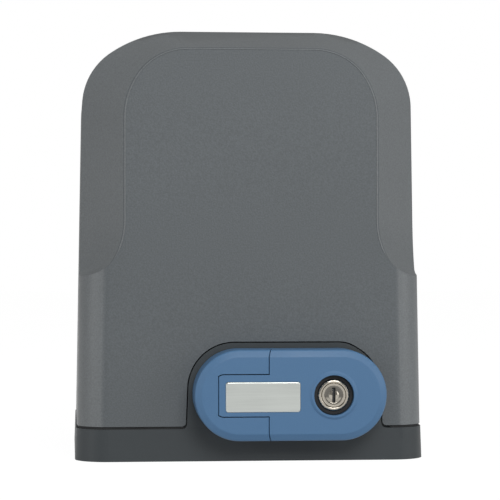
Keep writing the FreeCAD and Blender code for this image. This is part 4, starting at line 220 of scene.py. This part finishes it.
# %% Lock plating
def lock_plating():
    """Nickel plate whose ring between the key dome and the rim is duller and darker, by painted shade and a painted
    reflection.
    """
    material, tree, shader, coords = new_material("nickel_plated_zinc")
    low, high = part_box("lock_barrel")
    from_axis = add(tree, "ShaderNodeVectorMath", {0: coords, 1: (Vector(low) + Vector(high)) / 2},
                    operation="SUBTRACT")
    across = add(tree, "ShaderNodeVectorMath", {0: from_axis, 1: (1, 0, 1)}, operation="MULTIPLY")
    reach = add(tree, "ShaderNodeVectorMath", {0: across}, "Value", operation="LENGTH")
    outside = spread(tree, reach, 0.0, 1.0, 3.55 * MM, 3.75 * MM)
    inside = spread(tree, reach, 1.0, 0.0, 6.7 * MM, 6.9 * MM)
    ring = add(tree, "ShaderNodeMath", {0: outside, 1: inside}, operation="MULTIPLY")
    height = add(tree, "ShaderNodeSeparateXYZ", {0: from_axis}, 2)
    above = spread(tree, height, 0.2, 1.0, -2.4 * MM, -1.0 * MM)
    painted_dark_reflection = add(tree, "ShaderNodeMath", {0: ring, 1: above}, operation="MULTIPLY")
    fine = add(tree, "ShaderNodeTexNoise", {"Vector": coords, "Scale": 1 / (0.8 * MM), "Detail": 3.0})
    dull = add(tree, "ShaderNodeMath", {0: painted_dark_reflection, 1: 0.1}, operation="MULTIPLY")
    gloss = add(tree, "ShaderNodeMath", {0: dull, 1: spread(tree, fine, 0.12, 0.16)}, operation="ADD")
    # Painted shade and painted reflection: the ring's colour darkens, most above the axis.
    tint = add(tree, "ShaderNodeMix", {0: painted_dark_reflection, 6: colour("b0aa9f"), 7: colour("716e68")}, 2, data_type="RGBA")
    feed_inputs(tree, shader, {"Base Color": tint, "Roughness": gloss, "Metallic": 1.0})
    return material


# %% All finishes, by the record's material slots
FINISH = {
    "cover_plastic": moulded_asa(),
    "base_paint": grained("powder_coat_charcoal", "303639", 0.5, 1.3 * MM, 0.08 * MM),
    "handle_plastic": grained("moulded_polyamide_blue", "4a7197", 0.5, 0.9 * MM, 0.05 * MM, fleck=0.03),
    "plate_aluminium": grained("brushed_aluminium", "c3c7c3", 0.38, 1.0 * MM, 0.02 * MM, 1.0, 0.05,
                               (0.03, 1, 1)),
    "lock_nickel": lock_plating(),
    "steel": grained("turned_steel", "9a9c9e", 0.3, 0.7 * MM, 0.02 * MM, 1.0, 0.05, (1, 0.2, 1)),
    "zinc_steel": grained("zinc_plated_steel", "a9adb0", 0.36, 2.5 * MM, 0.01 * MM, 1.0, 0.06),
    "cast_aluminium": grained("die_cast_aluminium", "9fa2a4", 0.52, 1.5 * MM, 0.1 * MM, 1.0, 0.06),
    "bronze": grained("bearing_bronze", "b08a4e", 0.35, 0.8 * MM, 0.02 * MM, 1.0, 0.05),
    "copper_wire": grained("enamelled_copper", "9c4f27", 0.3, 1.0 * MM, 0.15 * MM, 0.8, 0.15, (1, 1, 0.2)),
    "laminated_steel": grained("varnished_laminations", "4b4f55", 0.45, 1.0 * MM, 0.15 * MM, 0.4, 0.12,
                               (0.02, 0.02, 1)),
    "rubber": grained("nitrile_rubber", "1c1d1e", 0.75, 1.0 * MM, 0.04 * MM, fleck=0.08),
    "board_laminate": solder_mask(),
    "green_plastic": grained("moulded_polyamide_green", "2f8a4c", 0.45, 0.8 * MM, 0.03 * MM),
    "black_plastic": grained("moulded_pbt_black", "202224", 0.5, 0.8 * MM, 0.03 * MM, fleck=0.08),
    "white_plastic": grained("moulded_polypropylene_white", "d9d8d2", 0.5, 0.8 * MM, 0.03 * MM),
    "red_plastic": grained("moulded_acetal_red", "b02a22", 0.4, 0.8 * MM, 0.02 * MM),
}
print(len(FINISH), "finishes")

# %% [markdown]
# ## Soft edges on every piece
# No moulded, cast or cut piece has a perfectly sharp edge, and it is the narrow rounded edge that
# catches the light. A copy of each piece is merged, its flat triangles are joined into whole
# faces, and a Bevel modifier rounds its sharp edges. Weighted normals then keep the flats flat.
# Each edge's share of the bevel is stored as a weight, so one piece can have soft and crisp edges.


# %% From bmesh to a finished piece
def place_piece(name, shape, body, slot, stands_for=()):
    """Turns a bmesh into a finished, smooth-shaded piece that rides on a body."""
    mesh = bpy.data.meshes.new(name)
    shape.to_mesh(mesh)
    shape.free()
    mesh.materials.append(FINISH[slot])
    mesh.shade_smooth()
    mesh.set_sharp_from_angle(angle=math.radians(32))
    piece = bpy.data.objects.new(name, mesh)
    scene.collection.objects.link(piece)
    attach(piece, body)
    if stands_for:
        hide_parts(*stands_for)
    return piece


# %% A node as a clean bmesh
def merged_copy(node):
    """A CAD node's mesh with shared corners and whole flats."""
    shape = bmesh.new()
    shape.from_mesh(frame["nodes"][node].data)
    bmesh.ops.remove_doubles(shape, verts=shape.verts, dist=0.002 * MM)
    bmesh.ops.dissolve_limit(shape, angle_limit=math.radians(0.4), verts=shape.verts, edges=shape.edges)
    return shape


# %% [markdown]
# The handle stands over the right leg of the front arch, so the arch has to end a little further
# left than the engineering model has it. Both sides of the gap, the cover's and the base's, are
# moved together: nothing left of the corner, then more and more up to four millimetres.


# %% Move the front arch's right leg
ARCH_SHIFT = 4.0 * MM
ARCH_FROM, ARCH_FADE, ARCH_UNTIL = 60 * MM, 20 * MM, 101.8 * MM
ARCH_TOP = 86.6 * MM


def tuck_arch(shape, low, back):
    """Moves the right leg of the front arch left, in front of a depth and above a height."""
    for vert in shape.verts:
        x, y, z = vert.co
        if y < back and low < z < ARCH_TOP and ARCH_FROM < x < ARCH_UNTIL:
            vert.co.x -= ARCH_SHIFT * min(1.0, (x - ARCH_FROM) / ARCH_FADE)
    return shape


print("arch leg moves by", round(ARCH_SHIFT / MM, 1), "mm")


# %% Round a piece's sharp edges
def everywhere(middle):
    """Full bevel on every sharp edge."""
    return 1.0


def dress(node, width, share=everywhere, segments=2, shape=None):
    """Replaces a CAD node by a copy with rounded edges; share maps an edge's middle to its weight."""
    shape = shape or merged_copy(node)
    layer = shape.edges.layers.float.new("bevel_weight_edge")
    for edge in shape.edges:
        if len(edge.link_faces) == 2 and edge.calc_face_angle(0.0) > math.radians(28):
            edge[layer] = share((edge.verts[0].co + edge.verts[1].co) / 2)
    piece = place_piece(node + "_dressed", shape, BODY_OF[node], SLOT_OF[node], [node])
    bevel = piece.modifiers.new("soft_edges", "BEVEL")
    bevel.width = width
    bevel.segments = segments
    bevel.limit_method = "WEIGHT"
    flats = piece.modifiers.new("flat_flats", "WEIGHTED_NORMAL")
    flats.keep_sharp = True
    return piece


# %% [markdown]
# ## The cover
# The edge between the front panel and the slanted band is softer than the cover's other edges, about
# 0.9 mm against 0.35 mm, because the band is polished by hand in the tool and its edge goes round.

# %% Cover
PANEL_EDGE_LOW = 0.128


def on_panel_edge(middle):
    """Whether a point lies on the border between the panel and the band."""
    return middle.y < PANEL_PLANE + LEAN * middle.z + 1.0 * MM and middle.z > PANEL_EDGE_LOW


cover = dress("cover", 0.9 * MM, lambda middle: 1.0 if on_panel_edge(middle) else 0.4, 3,
              tuck_arch(merged_copy("cover"), 0.0, -93.5 * MM))
print("cover faces", len(cover.data.polygons))

# %% [markdown]
# ## A lip round the panel
# The grained panel is sunk a few tenths of a millimetre into the band, so that the eroded insert of
# the tool can be changed. What shows is a thin lip that follows the border: bright at the sides,
# where it faces a lamp, and dark along the top, where it faces down. The border is found in the
# cover's own mesh: it is the edges between a face that looks along the panel and one that
# doesn't. They are put in order, and a small profile is carried along them.


# %% The border as an ordered line of points
def panel_border():
    """Points of the panel's border, from the left flare over the top to the right one."""
    shape = merged_copy("cover")
    outward = Vector((0, -1, LEAN)).normalized()
    border = []
    for edge in shape.edges:
        facing = sorted(face.normal.dot(outward) for face in edge.link_faces)
        middle = (edge.verts[0].co + edge.verts[1].co) / 2
        if facing[-1] > 0.9995 and facing[0] < 0.99 and on_panel_edge(middle) and abs(middle.x) < 0.121:
            border.append(edge)
    points = {tuple(round(v, 6) for v in vert.co): vert.co.copy() for edge in border for vert in edge.verts}
    shape.free()
    centre = Vector((0, 0, 0.2))
    return sorted(points.values(), key=lambda p: math.atan2(p.x - centre.x, p.z - centre.z + 0.1))


border = panel_border()
print(len(border), "border points, from", [round(v, 4) for v in border[0]], "to", [round(v, 4) for v in border[-1]])


# %% A profile carried along a line
def moulding(name, line, outward, profile, body, slot, fade=0.0, closed=False):
    """Thin strip on a flat face. Each profile point is (inward distance, height over the face)."""
    shape = bmesh.new()
    count = len(line)
    rings = []
    for k, point in enumerate(line):
        before = line[k - 1] if closed or k else point
        after = line[(k + 1) % count] if closed or k < count - 1 else point
        inward = (after - before).cross(outward).normalized()
        share = 1.0 if closed or not fade else min(1.0, k / fade, (count - 1 - k) / fade)
        rings.append([shape.verts.new(point + inward * u * max(share, 0.05)
                                      + outward * (v * share if v > 0 else v)) for u, v in profile])
    pairs = list(zip(rings, rings[1:])) + ([(rings[-1], rings[0])] if closed else [])
    for one, other in pairs:
        for k in range(len(profile)):
            j = (k + 1) % len(profile)
            shape.faces.new((one[k], one[j], other[j], other[k]))
    if not closed:
        shape.faces.new(rings[0])
        shape.faces.new(rings[-1][::-1])
    bmesh.ops.recalc_face_normals(shape, faces=shape.faces)
    return place_piece(name, shape, body, slot)


panel_out = Vector((0, -1, LEAN)).normalized()
# The lip wears the cover's finish, so its lighter grey is a painted highlight along the border.
lip = moulding("panel_lip", border, panel_out,
               [(-0.3 * MM, -0.3 * MM), (0.0, 0.0), (0.9 * MM, 0.4 * MM), (1.0 * MM, 0.38 * MM),
                (1.35 * MM, -0.05 * MM), (1.35 * MM, -0.3 * MM)],
               "cover", "cover_plastic", fade=4)
print("lip faces", len(lip.data.polygons))

# %% [markdown]
# ## Base, handle and lock
# The base is cast and powder coated, and paint draws back from sharp edges, so they look rounder
# than they are. The two halves of the handle are moulded. The badge is a pressed plate, whose rim
# slopes down all round over more than a millimetre. The lock is turned and plated, with a
# generous radius where keys keep hitting it.

# %% Base
RIM_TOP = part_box("cover")[0][2] - 1.8 * MM


def base_share(middle):
    """The rim's step under the front tongue is painted over, so it isn't rounded."""
    return 0.0 if abs(middle.z - RIM_TOP) < 0.3 * MM and abs(middle.y) > 96.5 * MM else 1.0


base = dress("base", 0.5 * MM, base_share,
             shape=tuck_arch(merged_copy("base"), RIM_TOP - 0.2 * MM, -91.5 * MM))
print("base faces", len(base.data.polygons))

# %% Handle, badge and lock
for node in ("hinge_bracket", "release_lever"):
    dress(node, 0.35 * MM)
badge_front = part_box("badge_plate")[0][1]
dress("badge_plate", 0.9 * MM, lambda middle: 1.0 if middle.y < badge_front + 0.1 * MM else 0.0, 3)
head_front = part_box("lock_barrel")[0][1]
dress("lock_barrel", 0.6 * MM, lambda middle: 1.0 if middle.y < head_front + 0.1 * MM else 0.2, 3)
plug_low, plug_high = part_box("lock_plug")
lock_middle = (Vector(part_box("lock_barrel")[0]) + Vector(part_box("lock_barrel")[1])) / 2
dress("lock_plug", 0.35 * MM, lambda middle: 1.0 if middle.y < plug_low[1] + 0.2 * MM else 0.3, 3)
for node in ("lock_cam", "lock_nut"):
    dress(node, 0.2 * MM)
print("lock middle", [round(v, 4) for v in lock_middle])


# %% [markdown]
# ## Turned rings
# A lathe makes a ring by turning, and bmesh does the same: a closed outline is spun about the axis
# with merged ends. The plug's face has a fine groove turned into it, where the cap is pressed on.


# %% Lathe
def lathe(name, outline, centre, body, slot, steps=64):
    """Ring about an axis along Y; the outline's points are (radius, y)."""
    shape = bmesh.new()
    corners = [shape.verts.new((centre.x + radius, y, centre.z)) for radius, y in outline]
    edges = [shape.edges.new((a, b)) for a, b in zip(corners, corners[1:] + corners[:1])]
    bmesh.ops.spin(shape, geom=corners + edges, cent=(centre.x, 0, centre.z), axis=(0, 1, 0),
                   angle=2 * math.pi, steps=steps, use_merge=True)
    bmesh.ops.remove_doubles(shape, verts=shape.verts, dist=0.001 * MM)
    bmesh.ops.recalc_face_normals(shape, faces=shape.faces)
    return place_piece(name, shape, body, slot)


plug_face = plug_low[1] + 0.4 * MM
lathe("plug_ring", [(5.6 * MM, plug_face + 0.2 * MM), (5.6 * MM, plug_face - 0.05 * MM),
                    (5.7 * MM, plug_face - 0.1 * MM), (6.9 * MM, plug_face - 0.1 * MM),
                    (7.0 * MM, plug_face + 0.15 * MM), (7.25 * MM, plug_face + 0.15 * MM),
                    (7.35 * MM, plug_face - 0.1 * MM), (8.3 * MM, plug_face - 0.1 * MM),
                    (8.45 * MM, plug_face + 0.2 * MM)], lock_middle, "lock", "lock_nickel")
print("plug face at", round(plug_face, 5))

# %% [markdown]
# The middle of the plug is a small dome that leads the key in, cut through by the key slot. It is a
# round cap, made by pushing the rings of a disc forward along a circle's arc, then cut by two
# planes, one for each side of the slot.

# %% Key dome
DOME_RADIUS = 3.6 * MM
DOME_HEIGHT = 0.95 * MM
HALF_KEY_SLOT = 1.2 * MM
DOME_RINGS, DOME_STEPS = 8, 48


def push_rim_back(shape, y):
    """Extrudes the open rims of a bmesh back to a depth, so that its thin caps get sides."""
    rim = bmesh.ops.extrude_edge_only(shape, edges=[edge for edge in shape.edges if edge.is_boundary])["geom"]
    for item in rim:
        if isinstance(item, bmesh.types.BMVert):
            item.co.y = y
    bmesh.ops.recalc_face_normals(shape, faces=shape.faces)


dome_foot = plug_low[1] + 0.05 * MM
ball = (DOME_RADIUS ** 2 + DOME_HEIGHT ** 2) / (2 * DOME_HEIGHT)
for side in (-1, 1):
    dome = bmesh.new()
    arc = [dome.verts.new((DOME_RADIUS * k / DOME_RINGS, 0, 0)) for k in range(DOME_RINGS + 1)]
    for vert in arc:
        vert.co.y = dome_foot - (math.sqrt(ball ** 2 - vert.co.x ** 2) - ball + DOME_HEIGHT)
    edges = [dome.edges.new(pair) for pair in zip(arc, arc[1:])]
    bmesh.ops.spin(dome, geom=arc + edges, cent=(0, 0, 0), axis=(0, 1, 0), angle=2 * math.pi,
                   steps=DOME_STEPS, use_merge=True)
    bmesh.ops.remove_doubles(dome, verts=dome.verts, dist=0.001 * MM)
    bmesh.ops.bisect_plane(dome, geom=dome.verts[:] + dome.edges[:] + dome.faces[:],
                           plane_co=(side * HALF_KEY_SLOT, 0, 0), plane_no=(side, 0, 0), clear_inner=True)
    push_rim_back(dome, dome_foot + 0.3 * MM)
    bmesh.ops.translate(dome, vec=(lock_middle.x, 0, lock_middle.z), verts=dome.verts)
    place_piece("key_dome_left" if side < 0 else "key_dome_right", dome, "lock", "lock_nickel")
print("dome height", round(DOME_HEIGHT / MM, 2), "mm")

# %% [markdown]
# A black rubber ring lies on the floor of the recess, round the lock's head: a dark ring that paints
# the shade deep in the recess.

# %% Painted shade ring in the recess
RECESS_DEPTH = 6.0 * MM
HEAD_RADIUS = 11.0 * MM
RECESS_RADIUS = 14.2 * MM
SHADE_RING_GAP = 0.15 * MM
SHADE_RING_HEIGHT, SHADE_RING_SHOULDER = 3.0 * MM, 2.6 * MM
recess_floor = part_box("hinge_bracket")[0][1] + RECESS_DEPTH
inner, outer = HEAD_RADIUS + SHADE_RING_GAP, RECESS_RADIUS - SHADE_RING_GAP
# A black ring that paints the shade at the bottom of the recess.
lathe("recess_shade_ring", [(inner, recess_floor + 0.3 * MM), (inner, recess_floor - SHADE_RING_SHOULDER),
                    (inner + 0.35 * MM, recess_floor - SHADE_RING_HEIGHT),
                    (outer - 0.45 * MM, recess_floor - SHADE_RING_HEIGHT),
                    (outer, recess_floor - SHADE_RING_SHOULDER), (outer, recess_floor + 0.3 * MM)],
      lock_middle, "lever", "rubber")
print("recess floor at", round(recess_floor, 5))

# %% [markdown]
# The moulded handle shows the faint ring of its injection point near its left end.

# %% Injection point
bracket_low, bracket_high = [Vector(corner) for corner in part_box("hinge_bracket")]
gate = Vector((bracket_low.x + 9.5 * MM, 0, (bracket_low.z + bracket_high.z) / 2 - 3.0 * MM))
handle_front = bracket_low.y
lathe("injection_ring", [(2.5 * MM, handle_front + 0.1 * MM), (2.62 * MM, handle_front - 0.05 * MM),
                         (2.85 * MM, handle_front - 0.05 * MM), (3.0 * MM, handle_front + 0.1 * MM)],
      gate, "housing", "handle_plastic", 40)
print("injection point at", [round(v, 4) for v in gate])

# %% [markdown]
# A black plastic plate stands in the key slot, a millimetre and a half inside. It is painted shade:
# a dark sheet where the slot lies in shade, and it is what makes the key slot look black rather
# than bright inside.

# %% Key slot's painted shade
painted_slot_shade = bmesh.new()
bmesh.ops.create_cube(painted_slot_shade, size=1.0)
bmesh.ops.scale(painted_slot_shade, vec=(2.2 * MM, 0.8 * MM, 10.5 * MM), verts=painted_slot_shade.verts)
bmesh.ops.translate(painted_slot_shade, vec=(lock_middle.x, plug_face + 1.9 * MM, lock_middle.z), verts=painted_slot_shade.verts)
bmesh.ops.bevel(painted_slot_shade, geom=painted_slot_shade.edges[:], offset=0.2 * MM, offset_type="OFFSET", segments=2,
                profile=0.5, affect="EDGES", material=-1)
# A dark plate that paints the shade inside the key slot.
place_piece("keyway_painted_shade", painted_slot_shade, "lock", "black_plastic")
print("shutter in place")

# %% [markdown]
# ## Gearbox, motor and electrics
# Castings have the roundest edges of all, because molten metal can't fill a sharp corner. Sheet
# metal and small moulded pieces are crisper.

# %% Castings, sheet metal and small pieces
for node in ("gearbox_housing", "gearbox_cover", "motor_flange", "motor_cap", "stator"):
    dress(node, 0.6 * MM)
for node in ("pinion", "pinion_washer", "pinion_bolt", "limit_arm", "limit_box", "limit_lid",
             "transformer", "capacitor", "capacitor_clamp", "board_bracket", "relays", "terminal_blocks",
             "board_parts", "cover_nuts"):
    dress(node, 0.25 * MM)
print("machine dressed")

# %% [markdown]
# ## What stands on the circuit board
# The engineering model has the board's large parts. Between them a real board carries many tiny
# soldered chips. The free places are found from the large parts' own boxes: each connected island
# of a mesh gives one box.


# %% Boxes of a node's islands
def islands(node):
    """Lowest and highest corner of each connected piece of a node's mesh."""
    shape = merged_copy(node)
    unseen = set(shape.verts)
    boxes = []
    while unseen:
        queue, grown = [unseen.pop()], set()
        while queue:
            vert = queue.pop()
            grown.add(vert)
            for edge in vert.link_edges:
                other = edge.other_vert(vert)
                if other in unseen:
                    unseen.discard(other)
                    queue.append(other)
        places = [vert.co for vert in grown]
        boxes.append((Vector([min(p[k] for p in places) for k in range(3)]),
                      Vector([max(p[k] for p in places) for k in range(3)])))
    shape.free()
    return boxes


taken = [box for node in ("relays", "terminal_blocks", "board_parts", "learn_button", "board_standoffs")
         for box in islands(node)]
print(len(taken), "large parts on the board")


# %% [markdown]
# The chips stand on a grid that keeps clear of the large parts. A quarter of its places stays
# empty and a third of the chips is turned, so that the grid doesn't show. Each chip has a bead of
# solder at both ends.

# %% Small soldered chips
CHIP_LENGTH, CHIP_WIDTH, CHIP_HEIGHT = 1.9 * MM, 1.2 * MM, 0.8 * MM
SOLDER_SIDE, SOLDER_HEIGHT, SOLDER_REACH = 0.8 * MM, 0.4 * MM, 1.15 * MM
STEP_X, STEP_Z = 6.2 * MM, 5.4 * MM
CLEAR_X, CLEAR_Z = 3.0 * MM, 2.5 * MM


def small_block(shape, middle, size, soft):
    """Adds a soft-edged block to a bmesh."""
    corners = bmesh.ops.create_cube(shape, size=1.0)["verts"]
    bmesh.ops.scale(shape, vec=size, verts=corners)
    bmesh.ops.translate(shape, vec=middle, verts=corners)
    edges = list({edge for vert in corners for edge in vert.link_edges})
    bmesh.ops.bevel(shape, geom=edges, offset=soft, offset_type="OFFSET", segments=1, profile=0.5,
                    affect="EDGES", material=-1)


def is_free(x, z):
    """Whether a chip at this place stays clear of the large parts."""
    return not any(low.x - CLEAR_X < x < high.x + CLEAR_X and low.z - CLEAR_Z < z < high.z + CLEAR_Z
                   for low, high in taken)


board_low, board_high = [Vector(corner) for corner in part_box("circuit_board")]
columns = int((board_high.x - board_low.x) / STEP_X)
rows = int((board_high.z - board_low.z) / STEP_Z)
chips, solder = bmesh.new(), bmesh.new()
for column in range(1, columns):
    for row in range(1, rows):
        x, z = board_low.x + column * STEP_X, board_low.z + row * STEP_Z
        if (column * 5 + row * 3) % 4 == 0 or not is_free(x, z):
            continue
        upright = (column + row) % 3 == 0
        size = (CHIP_WIDTH, CHIP_HEIGHT, CHIP_LENGTH) if upright else (CHIP_LENGTH, CHIP_HEIGHT, CHIP_WIDTH)
        small_block(chips, (x, board_low.y - 0.4 * MM, z), size, 0.1 * MM)
        for reach in (-SOLDER_REACH, SOLDER_REACH):
            pad = (x, board_low.y - 0.15 * MM, z + reach) if upright else (x + reach, board_low.y - 0.15 * MM, z)
            small_block(solder, pad, (SOLDER_SIDE, SOLDER_HEIGHT, SOLDER_SIDE), 0.12 * MM)
chips_piece = place_piece("small_chips", chips, "housing", "black_plastic")
solder_piece = place_piece("solder_pads", solder, "housing", "zinc_steel")
print("chip faces", len(chips_piece.data.polygons), "solder faces", len(solder_piece.data.polygons))

# %% [markdown]
# Each clamp of the terminal row has a slotted brass screw. A screw head is two halves of a disc, cut
# by slightly slanted planes so that a slot stays open between them, and pushed back into the row.

# %% Terminal screws
PITCH = 5.0 * MM
SCREW_RADIUS, HALF_SLOT = 1.75 * MM, 0.25 * MM
block_low, block_high = [Vector(corner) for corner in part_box("terminal_blocks")]
screws = bmesh.new()
z = block_high.z - 2.7 * MM
for k in range(round((block_high.x - block_low.x) / PITCH)):
    x = block_low.x + PITCH * (k + 0.5)
    for side in (-1, 1):
        head = bmesh.ops.create_circle(screws, cap_ends=True, segments=20, radius=SCREW_RADIUS)["verts"]
        bmesh.ops.rotate(screws, verts=head, cent=(0, 0, 0), matrix=Matrix.Rotation(math.pi / 2, 3, "X"))
        bmesh.ops.translate(screws, verts=head, vec=(x, block_low.y - 0.35 * MM, z))
        parts = {item for vert in head for item in (vert, *vert.link_edges, *vert.link_faces)}
        bmesh.ops.bisect_plane(screws, geom=list(parts), plane_co=(x + side * HALF_SLOT, 0, z),
                               plane_no=(side, 0, 0.3), clear_inner=True)
bmesh.ops.recalc_face_normals(screws, faces=screws.faces)
push_rim_back(screws, block_low.y + 0.1 * MM)
screw_piece = place_piece("terminal_screws", screws, "housing", "bronze")
print("terminal screw faces", len(screw_piece.data.polygons))

# %% [markdown]
# ## Pieces that keep their CAD shape
# The rest is right as it is, so it only gets its finish.

# %% Finishes on the CAD pieces
for node, thing in frame["nodes"].items():
    thing.data.materials.clear()
    thing.data.materials.append(FINISH[SLOT_OF[node]])
print(len(frame["nodes"]), "CAD pieces have a finish")

# %% [markdown]
# ## Springs
# A spring is wire wound on a mandrel. A circle of the wire's section is spun about the coil's axis
# and carried along it at the same time, which is what bmesh's spin does with a step vector. The
# coil's place and size come from the CAD spring's box.


# %% Coil springs
def coil_spring(node, wire, pitch, steps=20):
    """Smooth wire coil along Y in the box of the plain CAD spring."""
    low, high = [Vector(corner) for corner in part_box(node)]
    middle = (low + high) / 2
    radius = (high.x - low.x) / 2 - wire / 2
    length = high.y - low.y - wire
    turns = round(length / pitch)
    shape = bmesh.new()
    ring = bmesh.ops.create_circle(shape, segments=10, radius=wire / 2)["verts"]
    start = Matrix.Translation((middle.x + radius, low.y + wire / 2, middle.z))
    bmesh.ops.transform(shape, verts=ring, matrix=start)
    count = turns * steps
    bmesh.ops.spin(shape, geom=shape.verts[:] + shape.edges[:], cent=middle, axis=(0, 1, 0),
                   dvec=(0, length / count, 0), angle=2 * math.pi * turns, steps=count)
    bmesh.ops.holes_fill(shape, edges=[edge for edge in shape.edges if edge.is_boundary])
    bmesh.ops.recalc_face_normals(shape, faces=shape.faces)
    return place_piece(node + "_coil", shape, BODY_OF[node], SLOT_OF[node], [node])


limit_coil = coil_spring("limit_spring", 1.6 * MM, 4.0 * MM)
print("limit spring faces", len(limit_coil.data.polygons))

# %% [markdown]
# The clutch spring stands against the shaft's collar, and the sleeve presses it together when the
# handle opens. Its coil is built like the other one, and gets a mesh of its own.

# %% Clutch spring
clutch_coil = coil_spring("clutch_spring", 2.0 * MM, 4.9 * MM)
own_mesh(clutch_coil)

# %% [markdown]
# ## Floor, backdrop and light
# A plain white floor. Most of what the camera sees of it is a steady glow on camera rays, so that
# it stays white, and the rest is lit, so that the motor keeps its soft shadow. The world is white
# to the camera and dimmer as a light, so that recesses still go dark.


# %% Rays that see the studio as white
def seen_directly(tree):
    """1 on camera, glossy and transmission rays, else 0."""
    rays = tree.nodes.new("ShaderNodeLightPath").outputs
    first = add(tree, "ShaderNodeMath", {0: rays["Is Camera Ray"], 1: rays["Is Glossy Ray"]},
                operation="MAXIMUM")
    return add(tree, "ShaderNodeMath", {0: first, 1: rays["Is Transmission Ray"]}, operation="MAXIMUM")


# %% Floor
white, tree, shader, coords = new_material("studio_white")
glow = add(tree, "ShaderNodeEmission", {"Color": (1, 1, 1, 1), "Strength": 1.13})
share = add(tree, "ShaderNodeMath", {0: seen_directly(tree), 1: 0.86}, operation="MULTIPLY")
mix = add(tree, "ShaderNodeMixShader", {0: share, 1: shader.outputs["BSDF"], 2: glow})
tree.links.new(mix, tree.nodes["Material Output"].inputs["Surface"])
feed_inputs(tree, shader, {"Base Color": (0.5, 0.5, 0.5, 1), "Roughness": 1.0})
sheet = bmesh.new()
bmesh.ops.create_grid(sheet, x_segments=1, y_segments=1, size=6.0)
floor_mesh = bpy.data.meshes.new("floor")
sheet.to_mesh(floor_mesh)
sheet.free()
floor_mesh.materials.append(white)
floor = bpy.data.objects.new("floor", floor_mesh)
scene.collection.objects.link(floor)
print("floor ready")

# %% [markdown]
# The world mixes two whites: the camera sees the bright one, and all other rays meet the dim one.

# %% World
world = bpy.data.worlds.new("studio")
world.use_nodes = True
scene.world = world
tree = world.node_tree
dim = tree.nodes["Background"]
feed_inputs(tree, dim, {"Color": (1, 1, 1, 1), "Strength": 0.3})
plain = add(tree, "ShaderNodeBackground", {"Color": (1, 1, 1, 1), "Strength": 1.0})
rays = tree.nodes.new("ShaderNodeLightPath").outputs
direct = add(tree, "ShaderNodeMath", {0: rays["Is Camera Ray"], 1: rays["Is Transmission Ray"]},
             operation="MAXIMUM")
both = add(tree, "ShaderNodeMixShader", {0: direct, 1: dim.outputs["Background"], 2: plain})
tree.links.new(both, tree.nodes["World Output"].inputs["Surface"])
print("world ready")


# %% [markdown]
# Three square lamps: a strong one in front and above, and a weaker one on each side.


# %% Soft lamps
def soft_box(name, place, size, power, aim=(0, 0, 0.15)):
    """Square area light that points at the motor."""
    lamp = bpy.data.lights.new(name, "AREA")
    lamp.size = size
    lamp.energy = power
    box = bpy.data.objects.new(name, lamp)
    box.location = place
    box.rotation_euler = (Vector(aim) - Vector(place)).to_track_quat("-Z", "Y").to_euler()
    scene.collection.objects.link(box)


soft_box("key_from_above", (0.35, -1.9, 1.35), 1.2, 27)
soft_box("fill_right", (1.9, -1.0, 0.7), 1.2, 10)
soft_box("fill_left", (-1.9, -1.0, 0.7), 1.2, 9)
print("lamps ready")

# %% [markdown]
# ## Camera
# A long lens about one and a half metres away, level with the middle of the motor and a few
# degrees to its left, so that verticals stay upright and the right side falls back slightly.

# %% Camera
AIM = Vector((-0.0014, -0.098, 0.151))
DISTANCE = 1.4746
YAW = math.radians(5.0)
lens = bpy.data.cameras.new("camera")
lens.sensor_width = 36
lens.lens = 148.2
camera = bpy.data.objects.new("camera", lens)
camera.location = AIM + Vector((-math.sin(YAW), -math.cos(YAW), 0)) * DISTANCE
camera.rotation_euler = (math.radians(90), 0, -YAW)
scene.collection.objects.link(camera)
scene.camera = camera
scene.view_settings.view_transform = "Standard"
print("camera at", [round(v, 3) for v in camera.location])
